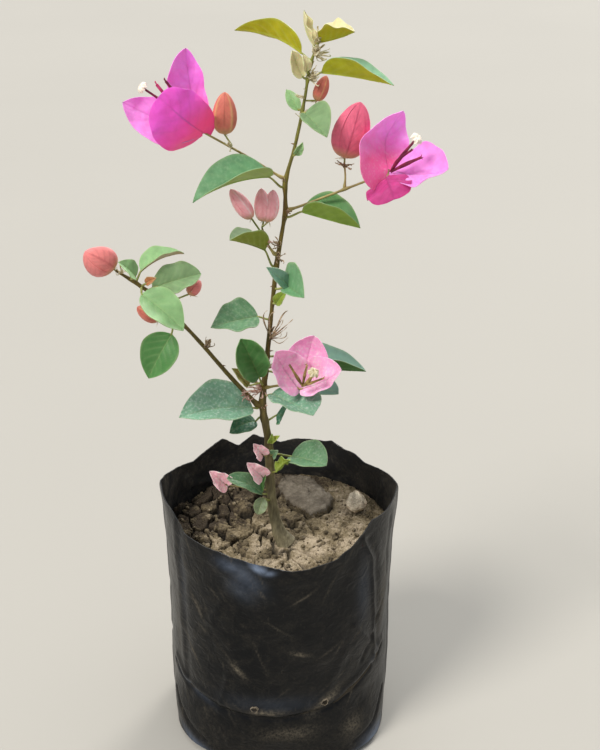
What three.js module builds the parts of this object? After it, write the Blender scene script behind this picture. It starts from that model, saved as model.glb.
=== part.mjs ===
// A young bougainvillea in its black polythene nursery bag.
// Millimetres, +Z up. The origin is the centre of the bag's flat underside, with +X right and -Y in front.

import * as THREE from 'three';

// The bag: a flat 8 by 10 inch sleeve that the soil has filled into an oval, with a torn, uneven rim
const BAG_FLAT_WIDTH = 204;
const BAG_HALF_WIDTH = 71.5;
const BAG_WALL = 1.2;
const BAG_SEGMENTS = 48;
const BAG_BOTTOM_TUCK = 5;
const BAG_FULL_FROM = 46;
const BAG_LEVELS = [0, 3, 12, BAG_FULL_FROM, 96, 140];
const BAG_SQUARE_BOTTOM = 2.5;
const BAG_OVAL_TOP = 2;

// The rim's height by azimuth in degrees, counted from the right-hand corner round by the back
const RIM = [
  [0, 181], [37, 175], [47, 179], [61, 182], [82, 180], [90, 177],
  [104, 184], [114, 178], [123, 185], [143, 176], [180, 184], [207, 178],
  [216, 169], [243, 166], [268, 160], [279, 157], [301, 161], [310, 166],
  [318, 175], [323, 179], [332, 177], [345, 179], [360, 181],
];

// The soil and what lies on it
const CLEARANCE = 0.3;
const SOIL_LEVEL = 152;
const SOIL_RELIEF = 2.2;
const SOIL_BACK_RISE = 2.5;
const SOIL_PAD_RADIUS = 11;
const SOIL_RINGS = 4;
const PEBBLE_RADIUS = 5.6;
const PEBBLE_PLACE = [50, 14];

// The stem: knots of its centreline, from the heel in the soil to the growing tip
const STEM_KNOTS = [
  [3, -20, 150], [-1, -19.5, 164], [-4, -19, 183], [-5.5, -17, 224], [-8.5, -16, 247], [-6.3, -14.5, 270],
  [-3.2, -13, 300], [0.2, -12, 331], [4.7, -10.5, 359], [5.7, -10, 367], [5.3, -9.4, 376], [5.8, -9, 382],
  [10.2, -8, 397], [15.7, -6.5, 423], [18.7, -5.5, 441], [21.5, -5, 449], [23.5, -5, 454],
];
const STEM_SIDES = 12;
const STEM_STEPS = 40;
const STEM_RADIUS_LOW = 3.7;
const STEM_RADIUS_MIDDLE = 1.75;
const STEM_RADIUS_TIP = 0.8;
const STEM_MIDDLE = 300;
const FLARE = 2.8;
const FLARE_REACH = 9;
const HEEL = 0.45;
const JOINT_SWELL = 0.5;
const JOINT_REACH = 4;
const JOINTS = [247, 334, 364, 380];

// The stem's one bough and the thin flower stalks. Each starts on its carrier, at a height on the stem
// or at a share of another limb's length, and its knots are measured from there.
const BOUGH = {
  at: 243,
  knots: [[0, 0, 0], [-18, -6, 26], [-39, -12, 57.5], [-59, -17, 83], [-76, -21, 98]],
  thick: 1.4,
  thin: 0.8,
};
const STALKS = [
  {
    name: 'stalk_flower_left', on: 'stem', at: 381,
    knots: [[0, 0, 0], [-18.5, -3, 13], [-42, -7.5, 28]], thick: 0.75, thin: 0.55,
  },
  {
    name: 'stalk_flower_right', on: 'stem', at: 364,
    knots: [[0, 0, 0], [10.5, -2, 4.5], [30, -4, 13], [54, -8, 24]], thick: 0.75, thin: 0.55,
  },
  {
    name: 'stalk_flower_single', on: 'stalk_flower_right', at: 0.56,
    knots: [[0, 0, 0], [0.5, 1.5, 6], [0, 3, 13]], thick: 0.5, thin: 0.5,
  },
  {
    name: 'stalk_bud_pair', on: 'stem', at: 337,
    knots: [[0, 0, 0], [-5.5, -2.5, 10], [-8.2, -4.3, 19.6]], thick: 0.7, thin: 0.6,
  },
  {
    name: 'stalk_flower_low', on: 'stem', at: 258,
    knots: [[0, 0, 0], [10, -8, 6], [21, -15.5, 8]], thick: 0.75, thin: 0.6,
  },
  {
    name: 'stalk_bud_hanging', on: 'bough_left', at: 0.57,
    knots: [[0, 0, 0], [-6.5, -2.5, 2.4], [-13.7, -4.4, 7]], thick: 0.5, thin: 0.45,
  },
];
const STALK_SIDES = 6;

// Leaves. Each has a short stalk from its limb and a blade from the stalk's end to its tip, both given as
// millimetres right, back and up. face is where its upper side looks, fold is how far each half rises, in
// degrees, and arch is how far the midrib bows out on the upper side.
const LEAVES = [
  {
    name: 'leaf_top_left', on: 'stem', at: 443, stalk: [-5, 1.5, 3.5], blade: [-33, 10, 9.5],
    width: 19, face: [0, 0.7, 0.7], fold: 25, arch: 4,
  },
  {
    name: 'leaf_top_right', on: 'stem', at: 434, stalk: [7, 1, 3], blade: [34, -7, -4],
    width: 23, face: [0, 0, 1], fold: 54, arch: 1,
  },
  {
    name: 'leaf_tip_right', on: 'stem', at: 453, stalk: [0.5, -1.5, -1], blade: [17, -8, 7],
    width: 19, face: [0, -0.1, 1], fold: 50, arch: 0,
  },
  {
    name: 'leaf_tip_upright', on: 'stem', at: 450, stalk: [-2.4, 2, -0.2], blade: [-4, 3, 17],
    width: 8, face: [0.8, -0.5, 0.3], fold: 45, arch: -1,
  },
  {
    name: 'leaf_young_cream', on: 'stem', at: 434, stalk: [-2.5, -1.5, 1], blade: [-5.5, -3, 14],
    width: 10, face: [0.4, -0.9, 0], fold: 22, arch: -1,
  },
  {
    name: 'leaf_crossing', on: 'stem', at: 417, stalk: [1.4, -3.5, 0.3], blade: [11, -20, -7],
    width: 23, face: [-0.4, 0.1, 0.9], fold: 30, arch: 1,
  },
  {
    name: 'leaf_crossing_back', on: 'stem', at: 418, stalk: [-2, 3, -1], blade: [-6, 8, 6],
    width: 9, face: [-0.4, -0.6, 1], fold: 15, arch: 1,
  },
  {
    name: 'leaf_upper_left', on: 'stem', at: 377, stalk: [-8, -6, 8], blade: [-40, -11, -13],
    width: 31, face: [0, -0.5, 0.87], fold: 35, arch: 5,
  },
  {
    name: 'leaf_upper_right', on: 'stem', at: 361, stalk: [9.5, -3, 4], blade: [31, -9, -6],
    width: 31, face: [0, 0, 1], fold: 47, arch: 0,
  },
  {
    name: 'leaf_upper_mid', on: 'stem', at: 332, stalk: [-6, -4, 12], blade: [-18, -14, 11],
    width: 20, face: [0, 0.2, 1], fold: 48, arch: 1,
  },
  {
    name: 'leaf_mid_right', on: 'stem', at: 312, stalk: [9, -5.5, 11], blade: [11, -18, 1],
    width: 31, face: [-0.4, -0.2, 0.9], fold: 22, arch: 2,
  },
  {
    name: 'leaf_mid_right_small', on: 'stem', at: 320, stalk: [4, -4.5, 4], blade: [-7.5, -7, 13],
    width: 9, face: [0.2, -0.7, 0.7], fold: 20, arch: 1,
  },
  {
    name: 'leaf_mid_left', on: 'stem', at: 301, stalk: [-7, -2, 2.5], blade: [-26, -11, -1.5],
    width: 30, face: [0, -0.3, 0.95], fold: 32, arch: 1,
  },
  {
    name: 'leaf_shaded', on: 'stem', at: 261, stalk: [-2, -5, 3], blade: [-10, -10, 33],
    width: 24, face: [0.3, -0.9, 0.3], fold: 30, arch: 2,
  },
  {
    name: 'leaf_low_left', on: 'stem', at: 246, stalk: [-5.5, -6, 2.5], blade: [-41, -16, 3],
    width: 37, face: [0, -0.19, 0.98], fold: 29, arch: 3,
  },
  {
    name: 'leaf_low_left_under', on: 'stem', at: 239, stalk: [-5, 2, -4], blade: [-15, -10, -2],
    width: 14, face: [-0.1, -0.5, 0.85], fold: 18, arch: 3,
  },
  {
    name: 'leaf_low_right', on: 'stem', at: 254, stalk: [5, -4.5, 2.5], blade: [31, -22, 2],
    width: 32, face: [0.1, -0.1, 1], fold: 32, arch: 1,
  },
  {
    name: 'leaf_low_right_under', on: 'stem', at: 236, stalk: [7, 5, 2], blade: [12, 2, 4],
    width: 15, face: [0, -0.6, 0.8], fold: 20, arch: 2,
  },
  {
    name: 'leaf_back_right', on: 'stem', at: 278, stalk: [14, 13, -10], blade: [44, 1, -7],
    width: 30, face: [0, 0, 1], fold: 44, arch: -1,
  },
  {
    name: 'leaf_behind_flower', on: 'stem', at: 268, stalk: [5.5, 9, -5], blade: [37, -6, -11],
    width: 15, face: [0, -0.6, 0.8], fold: 14, arch: 1,
  },
  {
    name: 'leaf_base_left', on: 'stem', at: 188, stalk: [-5, -5, 2], blade: [-20, -12, 19],
    width: 13, face: [-0.1, -0.5, 0.85], fold: 20, arch: 3,
  },
  {
    name: 'leaf_base_hanging', on: 'stem', at: 184, stalk: [-2, -6, 1], blade: [-3, -6, -8],
    width: 8, face: [0, -0.9, 0.4], fold: 20, arch: 1,
  },
  {
    name: 'leaf_base_right', on: 'stem', at: 214, stalk: [13, 4, -4], blade: [21, -14, 2.5],
    width: 27, face: [0, -0.12, 0.99], fold: 31, arch: 1,
  },
  {
    name: 'leaf_base_curled', on: 'stem', at: 203, stalk: [4, -6, 3], blade: [8.5, -5, 11],
    width: 8, face: [0, 0.9, 0.4], fold: 30, arch: 2,
  },
  {
    name: 'leaf_bough_front', on: 'bough_left', at: 0.86, stalk: [1, -8, -1], blade: [22, -7, -18],
    width: 22, face: [0.2, -0.5, 0.85], fold: 20, arch: 2,
  },
  {
    name: 'leaf_bough_back', on: 'bough_left', at: 0.82, stalk: [4, 4, 1], blade: [24, 4, 6],
    width: 22, face: [0, -0.6, 0.8], fold: 20, arch: 1,
  },
  {
    name: 'leaf_bough_arching', on: 'bough_left', at: 0.89, stalk: [2, 7, 4], blade: [22, 15, 4],
    width: 17, face: [-0.2, -0.2, 1], fold: 24, arch: 3,
  },
  {
    name: 'leaf_bough_young', on: 'bough_left', at: 0.92, stalk: [3.5, -4, 3], blade: [-7.5, -5, 10.5],
    width: 12, face: [0.6, -0.5, 0.7], fold: 24, arch: 1,
  },
  {
    name: 'leaf_bough_hanging', on: 'bough_left', at: 0.64, stalk: [-2, -7, -7], blade: [-13, -9, -22.5],
    width: 23, face: [-0.2, -0.8, 0.55], fold: 14, arch: 2,
  },
];

// Flowers: three papery bracts round the end of a stalk. Each reaches from there to its tip, in
// millimetres, and its inner side looks along face.
const FLOWERS = [
  {
    name: 'left', on: 'stalk_flower_left',
    bracts: {
      front: { reach: [-26, -20, 22], width: 32, face: [-0.5, 0.75, 0.4], arch: -4 },
      side: { reach: [-41, 2, 15], width: 25, face: [0, -0.75, 0.65], arch: -4 },
      top: { reach: [-8.5, 12.5, 40], width: 22, face: [0.5, -0.85, 0], arch: -5 },
    },
  },
  {
    name: 'right', on: 'stalk_flower_right',
    bracts: {
      top: { reach: [7.5, 10, 30], width: 27, face: [0.5, -0.85, 0], arch: -8 },
      side: { reach: [29, -20, 7], width: 27, face: [-0.1, -0.5, 0.85], arch: -4 },
      front: { reach: [-1, -13, -13.5], width: 20, face: [0.2, 0.8, -0.3], arch: -3 },
    },
  },
  {
    name: 'low', on: 'stalk_flower_low',
    bracts: {
      left: { reach: [-13, -7, 27], width: 21, face: [0.35, -0.8, 0.3], arch: -4 },
      back: { reach: [8, 9, 29], width: 24, face: [0, -0.9, 0.3], arch: -5 },
      right: { reach: [23, -9, 17], width: 22, face: [-0.2, -0.6, 0.75], arch: -3 },
    },
  },
];

// Small faded bracts near the foot of the stem, shaped like the leaves
const SMALL_BRACTS = [
  {
    name: 'bract_small_low', on: 'stem', at: 190, stalk: [-26, -12, 11], blade: [-9, -4, 12],
    width: 10, face: [0.3, -0.9, 0.3], fold: 22, arch: 1,
  },
  {
    name: 'bract_small_middle', on: 'stem', at: 201, stalk: [-5, -6, 2], blade: [-8, -6, 13],
    width: 10, face: [0.3, -0.9, 0.3], fold: 22, arch: 1,
  },
  {
    name: 'bract_small_high', on: 'stem', at: 214, stalk: [-4, -5, 3], blade: [-5, -4, 10],
    width: 8, face: [0.3, -0.9, 0.3], fold: 22, arch: 1,
  },
];

// Closed buds: each a pointed spindle of three folded bracts, broad and deep in millimetres
const BUDS = [
  {
    name: 'bud_left', on: 'stalk_flower_left', at: 0.66, stalk: [-3.5, 2.5, 6.5], bud: [1, 0, 21.5],
    broad: 14, deep: 9,
  },
  {
    name: 'bud_single', on: 'stalk_flower_single', at: 1, stalk: [0, 0, 3.5], bud: [7.5, -2, 29.5],
    broad: 21, deep: 11,
  },
  {
    name: 'bud_pair', on: 'stalk_bud_pair', at: 1, stalk: [1, 0, 4], bud: [-1, 0, 18],
    broad: 14, deep: 9,
  },
  {
    name: 'bud_lone', on: 'stalk_bud_pair', at: 0.9, stalk: [-6, -2, 8], bud: [-10.5, -2, 16.5],
    broad: 11, deep: 9,
  },
  {
    name: 'bud_top', on: 'stem', at: 423, stalk: [6.5, 3.5, -1], bud: [5, 3, 12],
    broad: 9, deep: 7,
  },
  {
    name: 'bud_bough_tip', on: 'bough_left', at: 1, stalk: [-1, -1, 1], bud: [-12.5, -6, 12],
    broad: 19, deep: 13,
  },
  {
    name: 'bud_hanging', on: 'stalk_bud_hanging', at: 1, stalk: [-0.5, 0, -0.6], bud: [-10.5, -3, 9],
    broad: 10, deep: 8,
  },
  {
    name: 'bud_behind', on: 'bough_left', at: 0.72, stalk: [13, 7.5, 3], bud: [6, 4, 6.5],
    broad: 8, deep: 7,
  },
];

const LEAF_THICKNESS = 1;
const BRACT_THICKNESS = 0.9;
const STALK_RADIUS = 0.6;
const FOOT_RADIUS = 0.35;
const BLADE_STATIONS = [0.1, 0.24, 0.38, 0.52, 0.67, 0.83];
const BRACT_FOLD = 14;
const BRACT_RISE = 0.7;
const BRACT_SPREAD = 1.9;
const BUD_SIDES = 9;
const BUD_STATIONS = [0.08, 0.22, 0.4, 0.58, 0.76, 0.9];
const BUD_RIB = 0.12;

const FINISHES = {
  polythene: { color: '#1b1c20', roughness: 0.45, metalness: 0 },
  soil: { color: '#7d6a57', roughness: 0.95, metalness: 0 },
  stone: { color: '#a8967c', roughness: 0.9, metalness: 0 },
  bark: { color: '#5d4d28', roughness: 0.8, metalness: 0 },
  leaf: { color: '#4f8f58', roughness: 0.5, metalness: 0 },
  bract: { color: '#d955a8', roughness: 0.6, metalness: 0 },
  bud: { color: '#dd7672', roughness: 0.6, metalness: 0 },
};

const plant = new THREE.Group();
const limbs = new Map();

function vector(numbers) {
  return new THREE.Vector3(...numbers);
}

// Adds one named sub-part to the plant
function add(name, geometry, finish) {
  const mesh = new THREE.Mesh(geometry, new THREE.MeshStandardMaterial(FINISHES[finish]));
  mesh.name = name;
  plant.add(mesh);
}

// Six times the volume that the triangles enclose, negative where they face inwards
function enclosed(points, faces) {
  let sum = 0;
  for (const [a, b, c] of faces) {
    sum += points[a].dot(points[b].clone().cross(points[c]));
  }
  return sum;
}

// A closed body through rings of points, each ring closed at an end by a fan round that end's middle
function skin(rings, startMiddle, endMiddle) {
  const count = rings[0].length;
  const points = rings.flat();
  const start = points.push(startMiddle) - 1;
  const end = points.push(endMiddle) - 1;
  const last = (rings.length - 1) * count;
  let faces = [];
  for (let i = 0; i < count; i += 1) {
    const next = (i + 1) % count;
    for (let ring = 0; ring < last; ring += count) {
      faces.push([ring + i, ring + next, ring + count + next]);
      faces.push([ring + i, ring + count + next, ring + count + i]);
    }
    faces.push([start, next, i]);
    faces.push([end, last + i, last + next]);
  }
  if (enclosed(points, faces) < 0) {
    faces = faces.map(([a, b, c]) => [a, c, b]);
  }
  const geometry = new THREE.BufferGeometry().setFromPoints(points);
  geometry.setIndex(faces.flat());
  geometry.computeVertexNormals();
  return geometry;
}

function middleOf(ring) {
  const sum = ring.reduce((total, point) => total.add(point), new THREE.Vector3());
  return sum.divideScalar(ring.length);
}

function radians(degrees) {
  return THREE.MathUtils.degToRad(degrees);
}

// How deep the filled bag is from front to back, from the girth of the flat sleeve and the filled width
function bagHalfDepth() {
  const girth = 2 * BAG_FLAT_WIDTH;
  let depth = BAG_HALF_WIDTH;
  const perimeter = (a, b) => Math.PI * (3 * (a + b) - Math.sqrt((3 * a + b) * (a + 3 * b)));
  while (perimeter(BAG_HALF_WIDTH, depth) > girth) {
    depth -= 0.1;
  }
  return depth;
}

const BAG_HALF_DEPTH = bagHalfDepth();

function rimHeight(azimuth) {
  const degrees = THREE.MathUtils.radToDeg(azimuth);
  const next = RIM.findIndex(([at]) => at >= degrees - 1e-6);
  if (next <= 0) {
    return RIM[0][1];
  }
  const [fromAngle, fromHeight] = RIM[next - 1];
  const [toAngle, toHeight] = RIM[next];
  return fromHeight + ((toHeight - fromHeight) * (degrees - fromAngle)) / (toAngle - fromAngle);
}

// A point of the bag's outline at a height: nearly square at the bottom and oval above, drawn in by inset
function bagPoint(azimuth, height, inset) {
  const filled = THREE.MathUtils.smoothstep(height, 0, BAG_FULL_FROM);
  const tuck = BAG_BOTTOM_TUCK * (1 - filled) ** 3;
  const power = THREE.MathUtils.lerp(BAG_SQUARE_BOTTOM, BAG_OVAL_TOP, filled);
  const across = BAG_HALF_WIDTH - tuck - inset;
  const deep = BAG_HALF_DEPTH - tuck - inset;
  const cosine = Math.cos(azimuth);
  const sine = Math.sin(azimuth);
  const x = across * Math.sign(cosine) * Math.abs(cosine) ** (2 / power);
  const y = deep * Math.sign(sine) * Math.abs(sine) ** (2 / power);
  return new THREE.Vector3(x, y, height);
}

function around(makePoint) {
  return Array.from({ length: BAG_SEGMENTS }, (unused, i) => makePoint((2 * Math.PI * i) / BAG_SEGMENTS));
}

// The outside from the underside up to the rim, then the inside down to the floor
function buildBag() {
  const outside = BAG_LEVELS.map((level) => around((azimuth) => bagPoint(azimuth, level, 0)));
  const rimOutside = around((azimuth) => bagPoint(azimuth, rimHeight(azimuth), 0));
  const rimInside = around((azimuth) => bagPoint(azimuth, rimHeight(azimuth), BAG_WALL));
  const inside = BAG_LEVELS.slice(1).reverse().map((level) => {
    return around((azimuth) => bagPoint(azimuth, Math.max(level, BAG_WALL), BAG_WALL));
  });
  const floor = around((azimuth) => bagPoint(azimuth, BAG_WALL, BAG_WALL));
  const rings = [...outside, rimOutside, rimInside, ...inside, floor];
  add('bag', skin(rings, new THREE.Vector3(), new THREE.Vector3(0, 0, BAG_WALL)), 'polythene');
}

function soilHeight(x, y) {
  const clods = Math.sin(x / 11 + 1) * Math.cos(y / 9) + 0.5 * Math.sin(x / 5 - y / 7);
  return SOIL_LEVEL + SOIL_RELIEF * clods * 0.6 + (SOIL_BACK_RISE * y) / BAG_HALF_DEPTH;
}

// The soil fills the bag, and its uneven top is level in a small pad where the stem comes out
function buildSoil() {
  const inset = BAG_WALL + CLEARANCE;
  const floor = BAG_WALL + CLEARANCE;
  const levels = BAG_LEVELS.slice(1, -1).map((level) => Math.max(level, floor));
  const sides = [floor, ...levels].map((level) => around((azimuth) => bagPoint(azimuth, level, inset)));
  const edge = around((azimuth) => {
    const point = bagPoint(azimuth, SOIL_LEVEL, inset);
    point.z = soilHeight(point.x, point.y) - SOIL_RELIEF;
    return point;
  });
  const foot = vector(STEM_KNOTS[0]);
  const pad = around((azimuth) => new THREE.Vector3(
    foot.x + SOIL_PAD_RADIUS * Math.cos(azimuth),
    foot.y + SOIL_PAD_RADIUS * Math.sin(azimuth),
    foot.z - CLEARANCE,
  ));
  const slopes = [];
  for (let ring = 1; ring < SOIL_RINGS; ring += 1) {
    const share = ring / SOIL_RINGS;
    slopes.push(edge.map((point, i) => {
      const between = point.clone().lerp(pad[i], share);
      between.z = THREE.MathUtils.lerp(soilHeight(between.x, between.y), pad[i].z, share ** 4);
      return between;
    }));
  }
  const rings = [...sides, edge, ...slopes, pad];
  const padMiddle = new THREE.Vector3(foot.x, foot.y, foot.z - CLEARANCE);
  add('soil', skin(rings, new THREE.Vector3(0, 0, floor), padMiddle), 'soil');
}

function buildPebble() {
  const [x, y] = PEBBLE_PLACE;
  const geometry = new THREE.IcosahedronGeometry(PEBBLE_RADIUS, 1);
  geometry.scale(0.95, 1.1, 0.85);
  geometry.rotateZ(radians(25));
  geometry.computeBoundingBox();
  const seat = soilHeight(x, y) + 2 * CLEARANCE;
  geometry.translate(x, y, seat - geometry.boundingBox.min.z);
  add('pebble', geometry, 'stone');
}

// How thick the stem is at a height: flared at the heel, swollen at its joints and thin at the tip
function stemRadius(height) {
  const foot = STEM_KNOTS[0][2];
  const top = STEM_KNOTS[STEM_KNOTS.length - 1][2];
  const lower = THREE.MathUtils.clamp((height - foot) / (STEM_MIDDLE - foot), 0, 1);
  const upper = THREE.MathUtils.clamp((height - STEM_MIDDLE) / (top - STEM_MIDDLE), 0, 1);
  const low = THREE.MathUtils.lerp(STEM_RADIUS_LOW, STEM_RADIUS_MIDDLE, lower ** 0.8);
  const plain = upper > 0 ? THREE.MathUtils.lerp(STEM_RADIUS_MIDDLE, STEM_RADIUS_TIP, upper ** 1.6) : low;
  const flare = FLARE * Math.exp(-(height - foot) / FLARE_REACH);
  const swell = JOINTS.reduce((sum, joint) => {
    return sum + JOINT_SWELL * Math.exp(-(((height - joint) / JOINT_REACH) ** 2));
  }, 0);
  return plain + flare + swell;
}

// A tapering limb along a curve. footPlane, if given, is the plane in which its first ring lies.
function limb(name, curve, radiusAt, sides, steps, footPlane) {
  const frames = curve.computeFrenetFrames(steps, false);
  const rings = frames.tangents.map((tangent, step) => {
    const centre = curve.getPointAt(step / steps);
    const radius = radiusAt(centre, step / steps);
    return Array.from({ length: sides }, (unused, i) => {
      const angle = (2 * Math.PI * i) / sides;
      const point = centre.clone();
      point.addScaledVector(frames.normals[step], radius * Math.cos(angle));
      point.addScaledVector(frames.binormals[step], radius * Math.sin(angle));
      if (step === 0 && footPlane) {
        const slide = -footPlane.distanceToPoint(point) / footPlane.normal.dot(tangent);
        point.addScaledVector(tangent, slide);
      }
      return point;
    });
  });
  const geometry = skin(rings, middleOf(rings[0]), middleOf(rings[steps]));
  limbs.set(name, { curve, radiusAt });
  return geometry;
}

// Where something grows from a limb: the limb's middle there, its thickness and its share of the length
function placeOn(limbName, at) {
  const { curve, radiusAt } = limbs.get(limbName);
  let share = at;
  if (limbName === 'stem') {
    let low = 0;
    let high = 1;
    for (let halving = 0; halving < 30; halving += 1) {
      share = (low + high) / 2;
      if (curve.getPointAt(share).z < at) {
        low = share;
      } else {
        high = share;
      }
    }
  }
  const centre = curve.getPointAt(share);
  return { centre, radius: radiusAt(centre, share), along: curve.getTangentAt(share), share };
}

// The direction of a shoot, with the part along its carrier taken out
function outwards(direction, along) {
  return direction.clone().addScaledVector(along, -direction.dot(along)).normalize();
}

function buildStem() {
  const curve = new THREE.CatmullRomCurve3(STEM_KNOTS.map(vector), false, 'centripetal');
  const ground = new THREE.Plane(new THREE.Vector3(0, 0, 1), -STEM_KNOTS[0][2]);
  const heel = (centre) => stemRadius(centre.z);
  const geometry = limb('stem', curve, heel, STEM_SIDES, STEM_STEPS, ground);
  const position = geometry.getAttribute('position');
  const foot = vector(STEM_KNOTS[0]);
  for (let i = 0; i < position.count; i += 1) {
    const rightwards = position.getX(i) - foot.x;
    const near = Math.exp(-(position.getZ(i) - foot.z) / FLARE_REACH);
    if (rightwards > 0) {
      position.setX(i, foot.x + rightwards * (1 + HEEL * near));
    }
  }
  add('stem', geometry, 'bark');
}

function buildShoot({ name, on, at, knots, thick, thin }) {
  const carrier = placeOn(on, at);
  const heading = vector(knots[1]);
  const out = outwards(heading, carrier.along);
  const surface = carrier.centre.clone().addScaledVector(out, carrier.radius + CLEARANCE);
  const footPlane = new THREE.Plane().setFromNormalAndCoplanarPoint(out, surface);
  const points = knots.map((knot) => vector(knot).add(carrier.centre));
  const slide = (carrier.radius + CLEARANCE) / out.dot(heading.clone().normalize());
  points[0].addScaledVector(heading.clone().normalize(), slide);
  const curve = new THREE.CatmullRomCurve3(points, false, 'centripetal');
  const radiusAt = (centre, share) => THREE.MathUtils.lerp(thick, thin, share);
  const steps = 5 * (knots.length - 1);
  add(name, limb(name, curve, radiusAt, STALK_SIDES, steps, footPlane), 'bark');
}

// Where a leaf's or bud's stalk starts, clear of the limb's surface
function footOn({ on, at, stalk }) {
  const carrier = placeOn(on, at);
  const gap = carrier.radius + CLEARANCE + FOOT_RADIUS;
  const atTip = carrier.share === 1;
  const out = atTip ? vector(stalk).normalize() : outwards(vector(stalk), carrier.along);
  return carrier.centre.clone().addScaledVector(out, atTip ? CLEARANCE + FOOT_RADIUS : gap);
}

// How wide a leaf is along its blade, as a share of its greatest width: rounded below and drawn out above
function leafOutline(share) {
  return 2.53 * share ** 0.6 * (1 - share) ** 0.75;
}

// A bract starts narrower, so that three of them meet round one stalk without touching
function bractOutline(share) {
  return 5.38 * share ** 1.5 * (1 - share);
}

// One folded blade with its stalk. Every ring of it lies across the line from foot to tip.
function blade({ foot, base, tip, width, face, fold, arch, thickness, outline }) {
  const along = tip.clone().sub(foot).normalize();
  const side = along.clone().cross(face).normalize();
  const up = side.clone().cross(along);
  const rise = Math.sin(radians(fold));
  const reach = Math.cos(radians(fold));
  const ring = (centre, halfWidth, halfThickness) => {
    const across = Math.max(halfWidth * reach, halfThickness);
    const lift = halfWidth * rise;
    const corners = [[-1, 1], [0, 1], [1, 1], [1, -1], [0, -1], [-1, -1]];
    return corners.map(([sideways, upwards]) => {
      const point = centre.clone().addScaledVector(side, sideways * across);
      const edge = sideways === 0 ? 1 : 0.7;
      return point.addScaledVector(up, Math.abs(sideways) * lift + upwards * halfThickness * edge);
    });
  };
  const rings = [ring(foot, FOOT_RADIUS, FOOT_RADIUS)];
  if (base.distanceTo(foot) > 2 * STALK_RADIUS) {
    rings.push(ring(foot.clone().lerp(base, 0.35), STALK_RADIUS, STALK_RADIUS));
    rings.push(ring(base, STALK_RADIUS, STALK_RADIUS));
  }
  for (const share of BLADE_STATIONS) {
    const centre = base.clone().lerp(tip, share);
    centre.addScaledVector(up, arch * 4 * share * (1 - share));
    rings.push(ring(centre, (width / 2) * outline(share), thickness / 2));
  }
  return skin(rings, foot, tip);
}

function buildLeaf(leaf, finish, thickness) {
  const foot = footOn(leaf);
  const base = placeOn(leaf.on, leaf.at).centre.add(vector(leaf.stalk));
  const tip = base.clone().add(vector(leaf.blade));
  const face = vector(leaf.face).normalize();
  const { width, fold, arch } = leaf;
  const shape = { foot, base, tip, width, face, fold, arch, thickness, outline: leafOutline };
  add(leaf.name, blade(shape), finish);
}

// The bracts stand round the flower's axis, which is the mean of the ways that they reach
function buildFlower({ name, on, bracts }) {
  const { centre, radius } = placeOn(on, 1);
  const directions = Object.values(bracts).map(({ reach }) => vector(reach).normalize());
  const axis = directions.reduce((sum, direction) => sum.add(direction), new THREE.Vector3()).normalize();
  for (const [part, { reach, width, face, arch }] of Object.entries(bracts)) {
    const sideways = outwards(vector(reach), axis);
    const foot = centre.clone().addScaledVector(axis, BRACT_RISE * radius);
    foot.addScaledVector(sideways, BRACT_SPREAD * radius);
    const tip = centre.clone().add(vector(reach));
    const shape = { foot, base: foot, tip, width, face: vector(face), fold: BRACT_FOLD, arch };
    const paper = { thickness: BRACT_THICKNESS, outline: bractOutline };
    add(`bract_${name}_${part}`, blade({ ...shape, ...paper }), 'bract');
  }
}

// A closed bud: a three-ribbed spindle on its stalk
function buildBud(plan) {
  const foot = footOn(plan);
  const base = placeOn(plan.on, plan.at).centre.add(vector(plan.stalk));
  const tip = base.clone().add(vector(plan.bud));
  const along = tip.clone().sub(base).normalize();
  const deepWay = outwards(new THREE.Vector3(0, 1, 0), along);
  const broadWay = deepWay.clone().cross(along);
  const ring = (centre, broad, deep) => Array.from({ length: BUD_SIDES }, (unused, i) => {
    const angle = (2 * Math.PI * i) / BUD_SIDES;
    const rib = 1 + BUD_RIB * Math.cos(3 * angle);
    const point = centre.clone().addScaledVector(broadWay, broad * rib * Math.cos(angle));
    return point.addScaledVector(deepWay, deep * rib * Math.sin(angle));
  });
  const rings = [ring(foot, FOOT_RADIUS, FOOT_RADIUS), ring(base, STALK_RADIUS, STALK_RADIUS)];
  for (const share of BUD_STATIONS) {
    const swell = 1.9 * share ** 0.5 * (1 - share) ** 0.75;
    const centre = base.clone().lerp(tip, share);
    rings.push(ring(centre, (plan.broad / 2) * swell, (plan.deep / 2) * swell));
  }
  add(plan.name, skin(rings, foot, tip), 'bud');
}

buildBag();
buildSoil();
buildPebble();
buildStem();
buildShoot({ name: 'bough_left', on: 'stem', ...BOUGH });
STALKS.forEach(buildShoot);
LEAVES.forEach((leaf) => buildLeaf(leaf, 'leaf', LEAF_THICKNESS));
SMALL_BRACTS.forEach((bract) => buildLeaf(bract, 'bract', BRACT_THICKNESS));
FLOWERS.forEach(buildFlower);
BUDS.forEach(buildBud);

export default plant;
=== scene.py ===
"""A young bougainvillea in its black polythene nursery bag, modelled round its packed solids.

Every organ is read from its own solid: where it grows from, where its tip is, how wide and how folded.
"""

import functools
import math

import bmesh
import bpy
import numpy as np
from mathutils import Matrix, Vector, noise


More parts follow.
